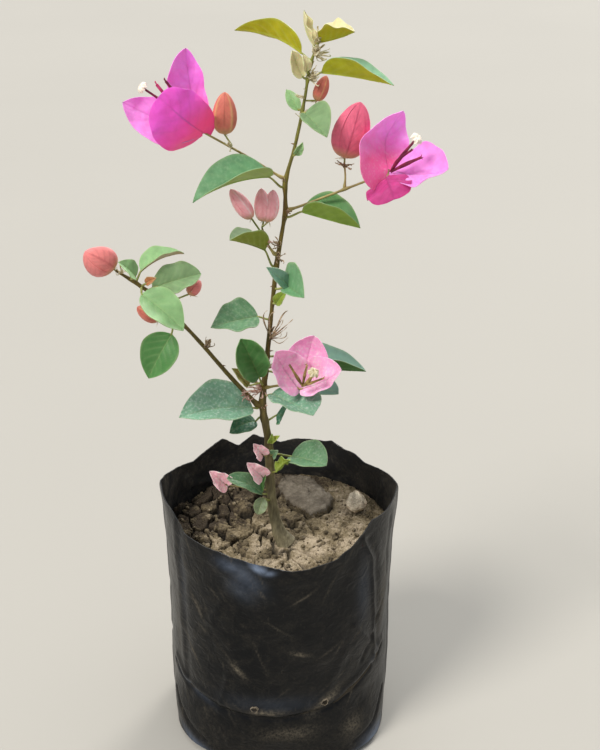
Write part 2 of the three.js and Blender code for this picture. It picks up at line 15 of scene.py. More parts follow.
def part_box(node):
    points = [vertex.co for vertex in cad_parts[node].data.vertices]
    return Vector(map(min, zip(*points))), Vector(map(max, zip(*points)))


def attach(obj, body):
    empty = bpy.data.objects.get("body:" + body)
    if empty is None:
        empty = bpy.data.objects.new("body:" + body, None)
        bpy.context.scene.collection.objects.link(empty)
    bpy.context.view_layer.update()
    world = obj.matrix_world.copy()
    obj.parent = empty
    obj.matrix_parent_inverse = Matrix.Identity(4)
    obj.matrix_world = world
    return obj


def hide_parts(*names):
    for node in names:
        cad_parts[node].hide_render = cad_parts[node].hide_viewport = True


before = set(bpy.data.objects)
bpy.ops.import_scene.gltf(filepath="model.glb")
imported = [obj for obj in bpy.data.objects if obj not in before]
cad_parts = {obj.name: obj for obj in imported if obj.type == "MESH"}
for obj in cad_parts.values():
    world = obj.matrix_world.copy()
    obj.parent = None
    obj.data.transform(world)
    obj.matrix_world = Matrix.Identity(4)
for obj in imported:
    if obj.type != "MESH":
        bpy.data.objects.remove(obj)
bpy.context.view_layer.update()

bl_info = {
    "name": "Potted Bougainvillea",
    "version": (1, 0, 0),
    "blender": (4, 5, 0),
    "location": "3D View > Sidebar > Bougainvillea",
    "description": "Builds a young bougainvillea in a polythene nursery bag",
    "category": "Add Mesh",
}

MM = 0.001
SEED = 41

# Where each side shoot grows from
CARRIERS = {
    "bough_left": "stem",
    "stalk_flower_left": "stem",
    "stalk_flower_right": "stem",
    "stalk_flower_single": "stalk_flower_right",
    "stalk_bud_pair": "stem",
    "stalk_flower_low": "stem",
    "stalk_bud_hanging": "bough_left",
}
STEM_SIDES = 12
SHOOT_SIDES = 6
STEM_SLIM = [(0, 1), (0.2, 0.98), (0.35, 0.8), (0.5, 0.7), (1, 0.72)]
BUD_SIDES = 9

# How each leaf looks: its upper and lower colour, and what sets its outline apart. front and back are its two
# halves, each with its width, its fold past the solid's in degrees, how drawn out its tip is and its lobe.
# cup bows each half, wave ripples the margin, curl bends the tip down, and shifts are in millimetres.
PLAIN_HALF = (1.0, 0, 0.85, 0.0)


def look(upper, lower, **more):
    """The finishes of a blade's two faces, with what sets its outline apart."""
    return {"upper": upper, "lower": lower, **more}


LEAF_LOOKS = {
    "top_left": look("lime", "olive", cup=0.1, tip_shift=(-1.5, 0, 0)),
    "top_right": look(
        "mint", "gold", front=(1.05, 0, 1.5, 0), back=(0.85, 0, 0.95, 0), cup=0.05, tip_shift=(3, 0, -1),
    ),
    "tip_right": look("cream", "olive", cup=0.1, wave=0.8),
    "tip_upright": look("cream", "cream", cup=0.3, wave=0.8),
    "young_cream": look("cream", "cream", cup=0.25, back=(0.8, 10, 0.6, 0)),
    "crossing": look("fresh", "fresh", front=(0.55, 0, 0.85, 0), cup=0.1),
    "crossing_back": look("pale_green", "deep", wave=0.2, width=0.8, tip_shift=(-0.5, 0, 3)),
    "upper_left": look(
        "soft_teal", "moss", front=(1.5, 24, 2.6, 0.05), back=(0.92, 0, 0.85, 0), tip_shift=(0, 0, 2.4),
    ),
    "upper_right": look("green", "moss", front=(1.0, 4, 0.7, 0)),
    "upper_mid": look("fresh", "olive_green", back=(1.0, 0, 0.6, 0), cup=0.1),
    "mid_right": look(
        "soft_teal", "moss", tip_shift=(-2.5, 0, 0.5), width=0.95, facing=(-0.15, -0.8, 0.55),
        front=(0.4, 10, 0.8, 0), back=(1.0, 16, 0.42, 0.3), cup=0.25, wave=0.5,
    ),
    "mid_right_small": look("pale_teal", "fresh", base_shift=(4.4, -1.0, -0.6), width=1.0, cup=0.2),
    "mid_left": look("teal", "moss", front=(0.72, -24, 1.0, 0), back=(0.85, 0, 1.0, 0), wave=0.9),
    "shaded": look(
        "green", "shade", front=(1.0, 0, 0.32, 0), back=(0.85, 12, 0.3, 0), base_shift=(-0.6, 0, 3.6), wave=1.0,
        cup=0.2,
    ),
    "low_left": look("dusty_teal", "moss", front=(0.72, -21, 0.9, 0), wave=0.6),
    "low_left_under": look("dark_teal", "shade", front=(1.0, -8, 0.7, 0)),
    "low_right": look(
        "dusty_teal", "moss", tip_shift=(-7.0, -1.5, -2.6), wave=0.7, front=(0.6, -16, 0.8, 0),
        back=(0.95, -4, 0.34, 0),
    ),
    "low_right_under": look(
        "dark_teal", "shade", tip_shift=(-9.0, -2.0, -6.0), wave=1.0, facing=(-0.1, -0.55, 0.8),
        back=(1.25, 0, 0.9, 0),
    ),
    "back_right": look("pale_teal", "deep", cup=0.05),
    "behind_flower": look("pale_teal", "deep", back=(1.3, 0, 0.5, 0)),
    "base_left": look("teal", "moss", wave=0.4, front=(0.72, -10, 0.5, 0), back=(1.0, 0, 0.5, 0)),
    "base_hanging": look(
        "dull", "dull", base_shift=(-3, 0, 3), tip_shift=(-3, 0, 3), back=(1.1, 0, 0.6, 0),
        front=(1.1, 0, 0.6, 0),
    ),
    "base_right": look("teal", "fresh", front=(1.0, -14, 0.6, 0), back=(0.95, 0, 0.6, 0), cup=0.1),
    "base_curled": look("yellow_green", "yellow_green", wave=1.2),
    "bough_front": look("pale_green", "fresh", cup=0.1, wave=0.4),
    "bough_back": look("fresh", "moss", wave=0.9, back=(0.9, 10, 0.6, 0.1), front=(0.9, 0, 0.7, 0)),
    "bough_arching": look("pale_green", "brownish", cup=0.1, front=(1.0, 10, 0.7, 0)),
    "bough_young": look("pale_green", "lime"),
    "bough_hanging": look("green", "moss", cup=0.1),
}
LEAF_GROUPS = {
    "foliage_tip": [
        "top_left", "top_right", "tip_right", "tip_upright", "young_cream", "crossing", "crossing_back",
    ],
    "foliage_upper": ["upper_left", "upper_right", "upper_mid", "mid_right", "mid_right_small", "mid_left"],
    "foliage_low": [
        "shaded", "low_left", "low_left_under", "low_right", "low_right_under", "back_right", "behind_flower",
    ],
    "foliage_base": ["base_left", "base_hanging", "base_right", "base_curled"],
    "foliage_bough": ["bough_front", "bough_back", "bough_arching", "bough_young", "bough_hanging"],
}

# Small young leaves in the axils, too small for a solid: which piece they are in, what they grow on and where, the
# steps along the stalk and the blade, the width and which way it faces, in millimetres, and the two finishes
YOUNG_LEAVES = [
    ("foliage_tip", "stem", 436, (-1, -2, 2), (-2, -2, 9), 6, (0.6, -0.8, 0), "cream", "lime"),
    ("foliage_tip", "stem", 394, (1.5, -1.5, 1), (4, -1, 7), 5, (0.3, -0.9, 0.2), "pale_green", "cream"),
    ("foliage_base", "stem", 205, (-2.5, -4, 1), (-1.5, -2, -14), 5.5, (-0.7, -0.7, 0), "deep", "shade"),
    ("foliage_base", "stem", 214, (2, -4, 2), (3.5, -3, 5), 6.5, (0, -0.8, 0.6), "teal", "moss"),
    ("foliage_base", "stem", 222, (0.5, -4, 2), (2, -2.5, 8), 4.5, (0.3, -0.9, 0.2), "yellow_green", "lime"),
    ("foliage_base", "stem", 224, (2, -3.5, 1), (5, -2, 5), 4, (-0.3, -0.8, 0.5), "lime", "yellow_green"),
    ("foliage_low", "stem", 262, (-9, -5, 0), (-9, -3, 13), 8, (0.5, -0.6, 0.6), "olive_brown", "olive_green"),
    ("foliage_upper", "stem", 311, (2, -4, 1), (6, -2.5, 9), 7, (-0.4, -0.8, 0.3), "yellow_green", "yellow_green"),
    ("foliage_bough", "bough_left", 0.86, (3, -3, 3), (6, -2, 4), 5, (-0.2, -0.8, 0.5), "rust", "brownish"),
]

# How each bract looks, in the same words as a leaf: its inner face is its upper one
FULL_HALF = (1.15, 0, 0.75, 0.1)
BRACT_LOOKS = {
    "left_front": look(
        "magenta", "glowing", front=(1.2, -16, 0.5, 0.04), back=(0.86, 0, 0.42, 0.16), tip_shift=(6.6, 0, 1.4),
        cup=0.18,
    ),
    "left_side": look("orchid", "magenta", front=(1.25, 0, 0.8, 0), back=(0.95, 0, 0.9, 0), rise=0.75, cup=0.2),
    "left_top": look(
        "magenta", "magenta", front=(1.45, 0, 0.72, 0), back=(0.66, 0, 0.72, 0), rise=0.8, cup=0.3,
    ),
    "right_top": look("pink_magenta", "magenta", front=(1.95, 0, 1.0, 0.4), back=(0.95, 0, 0.8, 0.1), cup=0.3),
    "right_side": look(
        "orchid", "magenta", front=(0.95, 0, 0.85, 0), back=(1.3, 0, 0.85, 0), rise=0.8, cup=0.24,
        base_shift=(0, 2.5, 1.2), tip_shift=(0, 2, 0.6),
    ),
    "right_front": look(
        "deep_rose", "deep_rose", front=(1.4, 0, 0.42, 0), back=(1.25, 0, 0.5, 0.1),
        base_shift=(-1.0, -4.0, -0.5), tip_shift=(3.0, -6.5, 5.5), cup=0.12,
    ),
    "low_left": look("faded", "faded", front=(0.85, 0, 0.55, 0.1), back=(1.25, 0, 0.7, 0.05), cup=0.25),
    "low_back": look("faded", "faded", front=(1.2, 0, 0.65, 0.1), back=(1.2, 0, 0.65, 0.1), cup=0.25),
    "low_right": look("faded", "faded", front=(0.7, 0, 0.6, 0.05), back=(1.3, 0, 0.6, 0.1), cup=0.3),
}
for place in ("low", "middle", "high"):
    BRACT_LOOKS["small_" + place] = look("dusty", "dusty", cup=0.6, wave=0.9)
BRACT_GROUPS = {
    "flower_left": ["left_front", "left_side", "left_top"],
    "flower_right": ["right_top", "right_side", "right_front"],
    "flower_low": ["low_left", "low_back", "low_right"],
    "bracts_small": ["small_low", "small_middle", "small_high"],
}

# The true flowers, thin tubes from the middle of the bracts: where each ends in millimetres from there, half its
# thickness, its finish, and the size and finish of its star where it is open
TUBES = {
    "flower_left": [
        ((-28.6, -10, 25.3), 0.8, "corolla_tube", (3.1, "corolla_cream")),
        ((-17.2, -4.5, 27), 0.9, "corolla_tube", None),
        ((-22.0, -3, 25.0), 1.1, "corolla_pink", None),
    ],
    "flower_right": [
        ((12.9, -9, 21), 0.85, "corolla_tube", (3.4, "corolla_cream")),
        ((15, -12, 11.8), 0.95, "corolla_tube", None),
        ((10, -10.5, 15), 0.8, "corolla_tube", None),
    ],
    "flower_low": [
        ((-5.2, -12, 20), 0.85, "dried_tube", None),
        ((3.9, -12, 20.5), 0.75, "dried_tube", None),
        ((7.6, -12, 16.5), 0.9, "dried_tube", (3.4, "husk_pale")),
        ((12.4, -12, 12.4), 0.75, "dried_tube", None),
    ],
}
# How far an open star turns up and to the front from its tube's end, in metres
STAR_LEAN = [0, -0.6 * MM, 0.3 * MM]
TUBE_STARTS = {"flower_left": (-2, 0, 1), "flower_right": (1, -1, 1), "flower_low": (1.5, -7, 5)}

# Each bud's colour, how far its first bract is turned from the front in degrees, and how much it is widened
BUD_LOOKS = {
    "bud_left": ("salmon", 58, 1.05), "bud_single": ("rose", 6, 1.08), "bud_pair": ("pink", 55, 0.74),
    "bud_lone": ("pink", 20, 0.88), "bud_top": ("salmon", 30, 0.92), "bud_bough_tip": ("coral", 15, 1.05),
    "bud_hanging": ("salmon", 10, 1.05), "bud_behind": ("coral", 0, 1.0),
}
# A second bud beside the first: how far it stands from it, in millimetres
TWIN_BUDS = {"bud_pair": (5.2, 0.5, -0.8)}
# The rib colours: on the pink buds they are drawn pale, a painted highlight along each bract; on the others they
# are the ribs' own colour
BUD_RIBS_AND_HIGHLIGHTS = {"salmon": "#dcbc7c", "rose": "#8e2a4c", "coral": "#b04a4c", "pink": "#ffe6e2"}
BUD_GROUPS = {
    "buds_stem": ["bud_left", "bud_single", "bud_pair", "bud_lone", "bud_top"],
    "buds_bough": ["bud_bough_tip", "bud_hanging", "bud_behind"],
}

# Dried flower remains: what each tuft sits on and where, which way it points, its length in millimetres and its
# strips
HUSKS = [
    ("stem", 288, (0.55, -0.2, 1.0), 20, 10, "husk_brown"),
    ("stem", 338, (0.3, -0.9, 0.3), 7, 8, "husk_brown"),
    ("stem", 344, (-0.5, -0.5, 0.8), 9, 6, "husk_brown"),
    ("stem", 257, (-0.9, -0.5, 0.7), 13, 15, "husk_pink"),
    ("stem", 247, (0.2, -1, 0.1), 5, 5, "husk_pink"),
    ("bough_left", 0.42, (0.5, -0.3, 0.9), 9, 7, "husk_brown"),
    ("bough_left", 0.08, (-0.3, -0.9, 0.5), 8, 8, "husk_pink"),
    ("bough_left", 0.97, (0.4, -0.6, 0.8), 7, 6, "husk_pale"),
    ("stem", 446, (0.8, -0.5, 0.5), 8, 26, "husk_pale"),
    ("stem", 434, (0.9, -0.3, 0.4), 7, 24, "husk_pale"),
    ("stem", 452, (0.2, -0.6, 1), 7, 20, "husk_pale"),
    ("stem", 414, (0.9, -0.4, 0.5), 7, 20, "husk_pale"),
    ("stem", 424, (-0.9, -0.4, 0.3), 6, 6, "husk_pale"),
    ("stem", 381, (-0.4, -0.8, 0.4), 4, 5, "husk_brown"),
    ("stem", 364, (0.5, -0.8, 0.3), 5, 5, "husk_brown"),
    ("stem", 271, (0.9, 0.3, 0.4), 7, 5, "husk_brown"),
    ("stalk_bud_pair", 0.45, (0.4, -0.7, 0.5), 6, 6, "husk_pink"),
    ("stalk_flower_left", 0.66, (-0.2, -0.6, 0.7), 6, 7, "husk_pale"),
    ("stalk_flower_single", 0.9, (-0.6, -0.6, 0.5), 5, 7, "husk_brown"),
    ("stalk_flower_single", 0.95, (0.7, -0.5, 0.4), 5, 5, "husk_brown"),
]

# The bag's creases: their places on it, as azimuth in degrees from the right-hand corner and height in
# millimetres, how far the film stands out along the crease and the crease's half width, in millimetres
CREASES = [
    ([(0, 178), (0, 8)], 1.4, 3.5),
    ([(180, 181), (180, 8)], 1.4, 3.5),
    ([(213, 172), (214.5, 120), (215, 40)], -0.5, 3.4),
    ([(208, 172), (209, 110), (211, 40)], 0.4, 3.4),
    ([(316, 168), (323.6, 149), (326, 116), (329, 61)], 1.1, 1.3),
    ([(321, 166), (328, 149), (331, 110), (334, 61)], -0.8, 2.8),
    (
        [
            (198, 54), (212, 45), (228, 43), (241, 41), (253, 41), (269, 39),
            (290, 43), (298, 44), (308, 50), (328, 61), (340, 68),
        ],
        -1.3, 1.9,
    ),
    ([(200, 60), (213, 51), (241, 47), (269, 45), (298, 50), (328, 67), (340, 74)], 0.9, 3.2),
    ([(20, 170), (28, 120), (30, 60)], -1.3, 2.6),
    ([(150, 166), (146, 110), (149, 50)], -1.3, 2.6),
    ([(25, 40), (60, 34), (100, 36), (140, 31), (165, 44)], -1.2, 1.8),
    ([(238, 158), (250, 146), (262, 138)], 0.9, 3.5),
    ([(262, 150), (272, 142), (285, 144)], -0.7, 3.0),
    ([(308, 10), (326, 16), (344, 30)], -1.3, 1.6),
    ([(232, 10), (214, 16), (196, 30)], -1.3, 1.6),
]
SEEDED_CREASES = 34

# Dried soil on the film: azimuth in degrees and height in millimetres, half its length and half its width in
# millimetres, its lean in degrees and how thick it is
SMEARS = [
    (249.5, 78, 6, 1.6, -50, 0.9), (281, 93, 5, 1.4, -20, 0.7), (295, 51, 12, 3.0, 42, 0.8),
    (263, 45, 9, 2.2, 0, 0.8), (309, 24, 8, 6, 30, 0.5), (275, 27, 13, 5, 10, 0.45),
    (330, 70, 16, 2.5, 60, 0.2), (205, 90, 22, 4, 85, 0.22), (338, 110, 30, 5, 85, 0.35),
    (225, 118, 9, 1.2, -60, 0.5), (90, 60, 20, 5, 10, 0.5), (60, 100, 12, 3, 50, 0.5),
    (140, 90, 14, 3, -40, 0.5), (20, 40, 10, 5, 30, 0.5), (165, 30, 10, 5, -30, 0.5),
]
SCRATCHES = 260
# Painted sheen on the film, in the same words: pale bluish patches that stand for the sky's reflection under the
# front rim and for highlights, such as those at its bottom corners
PAINTED_SHEEN = [
    (254, 153, 13, 6, -52, 0.2), (261, 159, 5, 2.6, -35, 1.0), (266, 156, 3, 1.8, 10, 0.7),
    (247, 158, 8, 4, -20, 0.25), (252, 142, 9, 6, -48, 0.14), (215, 47, 16, 2.6, -18, 0.16),
    (328, 66, 12, 3, 50, 0.08), (326, 6, 12, 5, 10, 0.6), (322, 4, 16, 2, 4, 0.5), (222, 5, 16, 3, -10, 0.3),
    (268, 52, 26, 6, 0, 0.07), (318, 128, 5, 22, 0, 0.1), (214, 130, 3, 26, 0, 0.05),
    (70, 140, 16, 8, 40, 0.25), (120, 60, 20, 4, -30, 0.2), (30, 20, 12, 5, 30, 0.3),
]

# The punched drain holes, as azimuth in degrees and height in millimetres
HOLES = [(257, 47.5), (294.3, 49.3), (75, 50), (110, 47), (20, 52), (160, 49)]
HOLE_RADIUS = 1.9

# Nicks and torn tips of the rim: azimuth and spread in degrees, and millimetres up or down
RIM_TEARS = [
    (123, 3.0, 2.4), (114, 2.6, -1.4), (104, 2.4, 1.3), (61, 2.2, 1.4), (52, 2.5, -0.8), (247, 3, -0.9),
    (305, 4, 0.8),
]


def linear(code):
    """The linear colour of an sRGB hex value."""
    parts = [int(code[i:i + 2], 16) / 255 for i in (1, 3, 5)]
    return tuple(p / 12.92 if p <= 0.04045 else ((p + 0.055) / 1.055) ** 2.4 for p in parts) + (1.0,)


def unit(vector):
    return vector / np.linalg.norm(vector)


def field(points, period, seed=0.0):
    """Smooth noise from -1 to 1 at each point, with bumps about period metres apart."""
    shift = Vector((seed, 2.3 * seed, -1.7 * seed))
    return np.array([noise.noise(Vector(p) / period + shift) for p in points.reshape(-1, 3)]).reshape(
        points.shape[:-1]
    )


# Reading the solids


def corners_of(node):
    """The corners of a CAD node's mesh, each once, in metres."""
    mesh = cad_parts[node].data
    flat = np.empty(len(mesh.vertices) * 3, np.float32)
    mesh.vertices.foreach_get("co", flat)
    return np.unique(np.round(flat.reshape(-1, 3).astype(float), 6), axis=0)


def farthest_two(corners):
    first = corners[np.argmax(np.linalg.norm(corners - corners.mean(0), axis=1))]
    second = corners[np.argmax(np.linalg.norm(corners - first, axis=1))]
    first = corners[np.argmax(np.linalg.norm(corners - second, axis=1))]
    return first, second


class Limb:
    """A limb's centreline from its foot to its tip, and how thick it is along it."""

    def __init__(self, path, radii):
        self.path = path
        self.radii = radii
        steps = np.linalg.norm(np.diff(path, axis=0), axis=1)
        self.shares = np.concatenate([[0], np.cumsum(steps)]) / steps.sum()

    def at(self, share):
        return np.stack([np.interp(share, self.shares, self.path[:, k]) for k in range(3)], axis=-1)

    def radius(self, share):
        return np.interp(share, self.shares, self.radii)

    def share_at_height(self, height):
        return np.interp(height, self.path[:, 2], self.shares)


def read_limb(node, sides, limbs):
    """A limb from the rings of its solid, with its foot at the end that its carrier holds."""
    corners = corners_of(node)
    first, second = farthest_two(corners)
    order = np.argsort((corners - first) @ (second - first))
    rings = corners[order][1:-1].reshape(-1, sides, 3)
    path = rings.mean(axis=1)
    radii = np.linalg.norm(rings - path[:, None], axis=2).mean(axis=1)
    if node in CARRIERS:
        carrier = limbs[CARRIERS[node]].path
        gaps = [np.linalg.norm(carrier - end, axis=1).min() for end in (path[0], path[-1])]
        turned = gaps[1] < gaps[0]
    else:
        turned = path[0, 2] > path[-1, 2]
    return Limb(path[::-1], radii[::-1]) if turned else Limb(path, radii)


class Blade:
    """A leaf's or bract's own frame: its foot, base and tip, which way is across and up, and its size."""

    def __init__(self, foot, base, tip, across, up, half, fold, arch):
        self.foot, self.base, self.tip = foot, base, tip
        self.across, self.up = across, up
        self.half, self.fold, self.arch = half, fold, arch
        self.length = np.linalg.norm(tip - base)


def foot_and_tip(corners):
    """The middle of the narrow ring at the foot, and the tip, which stands alone."""
    first, second = farthest_two(corners)
    crowded = (np.linalg.norm(corners - first, axis=1) < MM).sum() > 3
    return (first, second) if crowded else (second, first)


def read_blade(node):
    """A blade from its solid, whose rings of six corners lie across the line from foot to tip."""
    corners = corners_of(node)
    foot, tip = foot_and_tip(corners)
    for _ in range(2):
        along = unit(tip - foot)
        ordered = corners[np.argsort((corners - foot) @ along)]
        foot = ordered[:7].mean(axis=0)
    rings = ordered[7:-1].reshape(-1, 6, 3)
    sizes = np.linalg.norm(rings - rings.mean(axis=1)[:, None], axis=2).max(axis=1)
    widest = rings[np.argmax(sizes)]
    first, second = farthest_two(widest)
    rough = second - first
    left, middle, right = widest[np.argsort(widest @ rough)].reshape(3, 2, 3).mean(axis=1)
    across = unit(right - left)
    lift = (left + right) / 2 - middle
    up = unit(lift - across * (lift @ across))
    if np.cross(along, up) @ across < 0:
        across = -across
    rise = lift @ up
    reach = np.linalg.norm(right - left) / 2
    stations = rings[2:] if len(rings) > 6 else rings
    base = rings[1].mean(axis=0) if len(rings) > 6 else foot
    chosen = stations[2:4].reshape(-1, 6, 3)
    bows = []
    for share, ring in zip((0.38, 0.52), chosen):
        spine = ring[np.argsort(np.abs((ring - ring.mean(axis=0)) @ across))][:2].mean(axis=0)
        bows.append((spine - base - (tip - base) * share) @ up / (4 * share * (1 - share)))
    return Blade(foot, base, tip, across, up, math.hypot(rise, reach), math.atan2(rise, reach), np.mean(bows))


def place_on(limb, where):
    """A place on a limb: by height in millimetres on the stem, or else by the share of its length."""
    return LIMBS[limb].at(LIMBS[limb].share_at_height(where * MM) if limb == "stem" else where)


def planned_blade(limb, where, stalk, reach, width, face):
    """A blade that has no solid, from where it grows and its measures."""
    centre = place_on(limb, where)
    base = centre + np.array(stalk) * MM
    tip = base + np.array(reach) * MM
    along = unit(tip - base)
    across = unit(np.cross(along, np.array(face, float)))
    return Blade(centre, base, tip, across, np.cross(across, along), width * MM / 2, math.radians(24), MM)


class Bud:
    """A bud's own frame: its foot, base and tip, and its broad and deep ways and sizes."""

    def __init__(self, node):
        corners = corners_of(node)
        foot, tip = foot_and_tip(corners)
        ordered = corners[np.argsort((corners - foot) @ (tip - foot))]
        self.foot = ordered[:BUD_SIDES + 1].mean(axis=0)
        self.base = ordered[BUD_SIDES + 1:2 * BUD_SIDES + 1].mean(axis=0)
        self.tip = tip
        self.along = unit(tip - self.base)
        body = ordered[2 * BUD_SIDES + 1:-1] - self.base
        flat = body - np.outer(body @ self.along, self.along)
        ways = np.linalg.eigh(flat.T @ flat)[1]
        self.broad = ways[:, 2]
        self.deep = np.cross(self.along, self.broad)
        self.broad_half = np.abs(flat @ self.broad).max()
        self.deep_half = np.abs(flat @ self.deep).max()


LIMBS = {}
LIMBS["stem"] = read_limb("stem", STEM_SIDES, LIMBS)
for shoot in CARRIERS:
    LIMBS[shoot] = read_limb(shoot, SHOOT_SIDES, LIMBS)


# Making meshes


class Batch:
    """Points, faces and finishes gathered for one joined mesh, with a mark and a share for each point.

    mark is how much of a vein or rib a point lies on, or how much painted shade it takes in the soil's cracks and
    hollows, the stones' dips and the bark's furrows, or how much painted sheen it takes on the film; share is how
    far along its organ it is, and on the soil how dry it is, with painted shade towards the back.
    """

    def __init__(self):
        self.points, self.marks, self.shares = [], [], []
        self.faces, self.finishes = [], []
        self.count = 0

    def add(self, points, faces, finishes, marks=0.0, shares=0.0):
        points = np.asarray(points, float).reshape(-1, 3)
        self.faces.extend((np.asarray(face) + self.count).tolist() for face in faces)
        self.finishes.extend([finishes] * len(faces) if isinstance(finishes, str) else finishes)
        self.points.append(points)
        self.marks.append(np.broadcast_to(np.ravel(marks), len(points)))
        self.shares.append(np.broadcast_to(np.ravel(shares), len(points)))
        self.count += len(points)


def new_object(name, data):
    made = bpy.data.objects.new(name, data)
    bpy.context.scene.collection.objects.link(made)
    return made


def finish_piece(name, batch, replaced=(), sharp=50):
    """Makes a batch into one piece on the plant's body, with its finishes and marks."""
    mesh = bpy.data.meshes.new(name)
    mesh.from_pydata(np.concatenate(batch.points).tolist(), [], batch.faces)
    names = sorted(set(batch.finishes))
    for finish in names:
        mesh.materials.append(finish_named(finish))
    mesh.polygons.foreach_set("material_index", [names.index(finish) for finish in batch.finishes])
    mesh.polygons.foreach_set("use_smooth", [True] * len(mesh.polygons))
    for label, values in (("mark", batch.marks), ("share", batch.shares)):
        attribute = mesh.attributes.new(label, "FLOAT", "POINT")
        attribute.data.foreach_set("value", np.concatenate(values).astype(np.float32))
    mesh.update()
    mesh.set_sharp_from_angle(angle=math.radians(sharp))
    piece = new_object(name, mesh)
    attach(piece, "root")
    if replaced:
        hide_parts(*replaced)
    return piece


def grid_faces(rows, columns, closed=False):
    """The quads of a grid of points, whose last column joins its first if it is closed."""
    faces = []
    for row in range(rows - 1):
        for column in range(columns if closed else columns - 1):
            following = (column + 1) % columns
            here, above = row * columns, (row + 1) * columns
            faces.append((here + column, here + following, above + following, above + column))
    return faces


def tube_faces(rings, sides):
    """The faces of a tube of rings, closed at both ends."""
    ends = [tuple(range(sides))[::-1], tuple((rings - 1) * sides + i for i in range(sides))]
    return grid_faces(rings, sides, closed=True) + ends


def grid_edge(rows, columns):
    """The points round the edge of a grid, in order."""
    edge = list(range(columns)) + [row * columns + columns - 1 for row in range(1, rows)]
    edge += [(rows - 1) * columns + column for column in range(columns - 2, -1, -1)]
    return edge + [row * columns for row in range(rows - 2, 0, -1)]


def ring_at(centre, side, other, reach, angles):
    """A ring of points round a centre, in the plane of two directions."""
    return centre + np.outer(reach * np.cos(angles), side) + np.outer(reach * np.sin(angles), other)


def rings_along(path, tangents, radii, side, sides):
    """Rings round a path that don't twist, from a first sideways direction."""
    angles = np.arange(sides) * 2 * math.pi / sides
    rings = []
    for centre, tangent, radius in zip(path, tangents, radii):
        side = unit(side - tangent * (side @ tangent))
        other = np.cross(tangent, side)
        rings.append(centre + radius * (np.outer(np.cos(angles), side) + np.outer(np.sin(angles), other)))
    return np.array(rings)


def tangents_of(path):
    tangents = np.gradient(path, axis=0)
    return tangents / np.linalg.norm(tangents, axis=1)[:, None]


def add_tube(batch, path, radii, finish, sides=8, marks=0.0):
    """A round tube along a path, closed at both ends."""
    path = np.asarray(path, float)
    radii = np.broadcast_to(radii, len(path))
    tangents = tangents_of(path)
    helper = np.array([0, 0, 1.0]) if abs(tangents[0, 2]) < 0.8 else np.array([1.0, 0, 0])
    points = rings_along(path, tangents, radii, unit(np.cross(tangents[0], helper)), sides)
    shares = np.repeat(np.linspace(0, 1, len(path)), sides)
    batch.add(points, tube_faces(len(path), sides), finish, marks, shares)


def add_sheet(batch, grid, thickness, upper, lower, marks=0.0, shares=0.0):
    """A thin closed sheet on both sides of a grid of points, with its own finish on each side."""
    rows, columns = grid.shape[:2]
    along = np.gradient(grid, axis=0)
    across = np.gradient(grid, axis=1)
    normals = np.cross(across, along)
    normals /= np.maximum(np.linalg.norm(normals, axis=2), 1e-12)[..., None]
    above = (grid + normals * thickness / 2).reshape(-1, 3)
    below = (grid - normals * thickness / 2).reshape(-1, 3)
    faces = grid_faces(rows, columns)
    under = [tuple(i + rows * columns for i in face[::-1]) for face in faces]
    edge = grid_edge(rows, columns)
    ring = zip(edge, edge[1:] + edge[:1])
    rim = [(b, a, a + rows * columns, b + rows * columns) for a, b in ring]
    finishes = [upper] * len(faces) + [lower] * len(under) + [upper] * len(rim)
    marks, shares = (np.tile(np.broadcast_to(values, grid.shape[:2]).ravel(), 2) for values in (marks, shares))
    batch.add(np.concatenate([above, below]), faces + under + rim, finishes, marks, shares)


# The organs


def leaf_outline(share, rise, point):
    """A leaf's half width as a share of its greatest: rounded at the base and drawn out at the tip."""
    peak = rise / (rise + point)
    return share ** rise * (1 - share) ** point / (peak ** rise * (1 - peak) ** point)


def side_veins(share, out, pairs, slant):
    """How much of a side vein each point lies on: pairs of them, slanting towards the tip."""
    phase = (share - slant * out ** 1.15) * pairs
    gap = np.abs(phase - np.round(phase))
    return np.exp(-((gap / 0.13) ** 2)) * (1 - out ** 3) * (share > 0.04)


def blade_grid(blade, rows, columns, rise, style, ripple, veins, vein_depth, usual, margin):
    """The middle surface of a blade as a grid from its base to its tip, with its veins and shares."""
    phase = (abs(blade.tip[0]) * 5000) % 1
    share = np.linspace(0.0, 1.0, rows)[:, None]
    spread = np.linspace(-1, 1, columns)[None, :]
    spread = spread * (0.45 + 0.55 * np.abs(spread))
    out = np.abs(spread)
    halves = [style.get("front", usual), style.get("back", usual)]
    plus, minus = halves if blade.across[1] < 0 else halves[::-1]
    width, fold, point, lobe = (np.where(spread > 0, a, b) for a, b in zip(plus, minus))
    fullness = leaf_outline(np.clip(share, 1e-4, 1 - 1e-4), style.get("rise", rise), point)
    half = np.maximum(blade.half * fullness, 0.12 * MM) * width
    reach_back = lobe * out ** 2 * (1 - share) ** 3 * blade.length
    waves = np.sin(2 * math.pi * (2.3 * share + phase + 0.23 * (spread > 0)))
    ripples = style.get("wave", 0.3) * ripple * waves * out ** 2 * np.sin(math.pi * share)
    angle = blade.fold + np.radians(fold)
    bowl = style.get("cup", 0.0) * half * (out ** 2 - 0.35 * out)
    droop = style.get("curl", 0.0) * blade.length * share ** 3
    bow = blade.arch * 4 * share * (1 - share)
    mid_vein = np.exp(-((out * half / (0.5 * MM)) ** 2)) * (1 - share) ** 0.4
    side = side_veins(share + 0.04 * (spread > 0), out, veins, 0.34)
    grooves = np.clip(mid_vein + 0.55 * side * (1 - 0.5 * share), 0, 1)
    rim = margin * np.exp(-(((1 - out) * half / (0.45 * MM)) ** 2))
    lifted = out * np.sin(angle) * half + bowl + ripples + bow - droop - vein_depth * grooves
    along = unit(blade.tip - blade.base)
    grid = blade.base + share[..., None] * (blade.tip - blade.base) - reach_back[..., None] * along
    grid = grid + (spread * half * np.cos(angle))[..., None] * blade.across
    grid = grid + lifted[..., None] * blade.up
    return grid, np.maximum(grooves, rim), np.broadcast_to(share, grooves.shape)


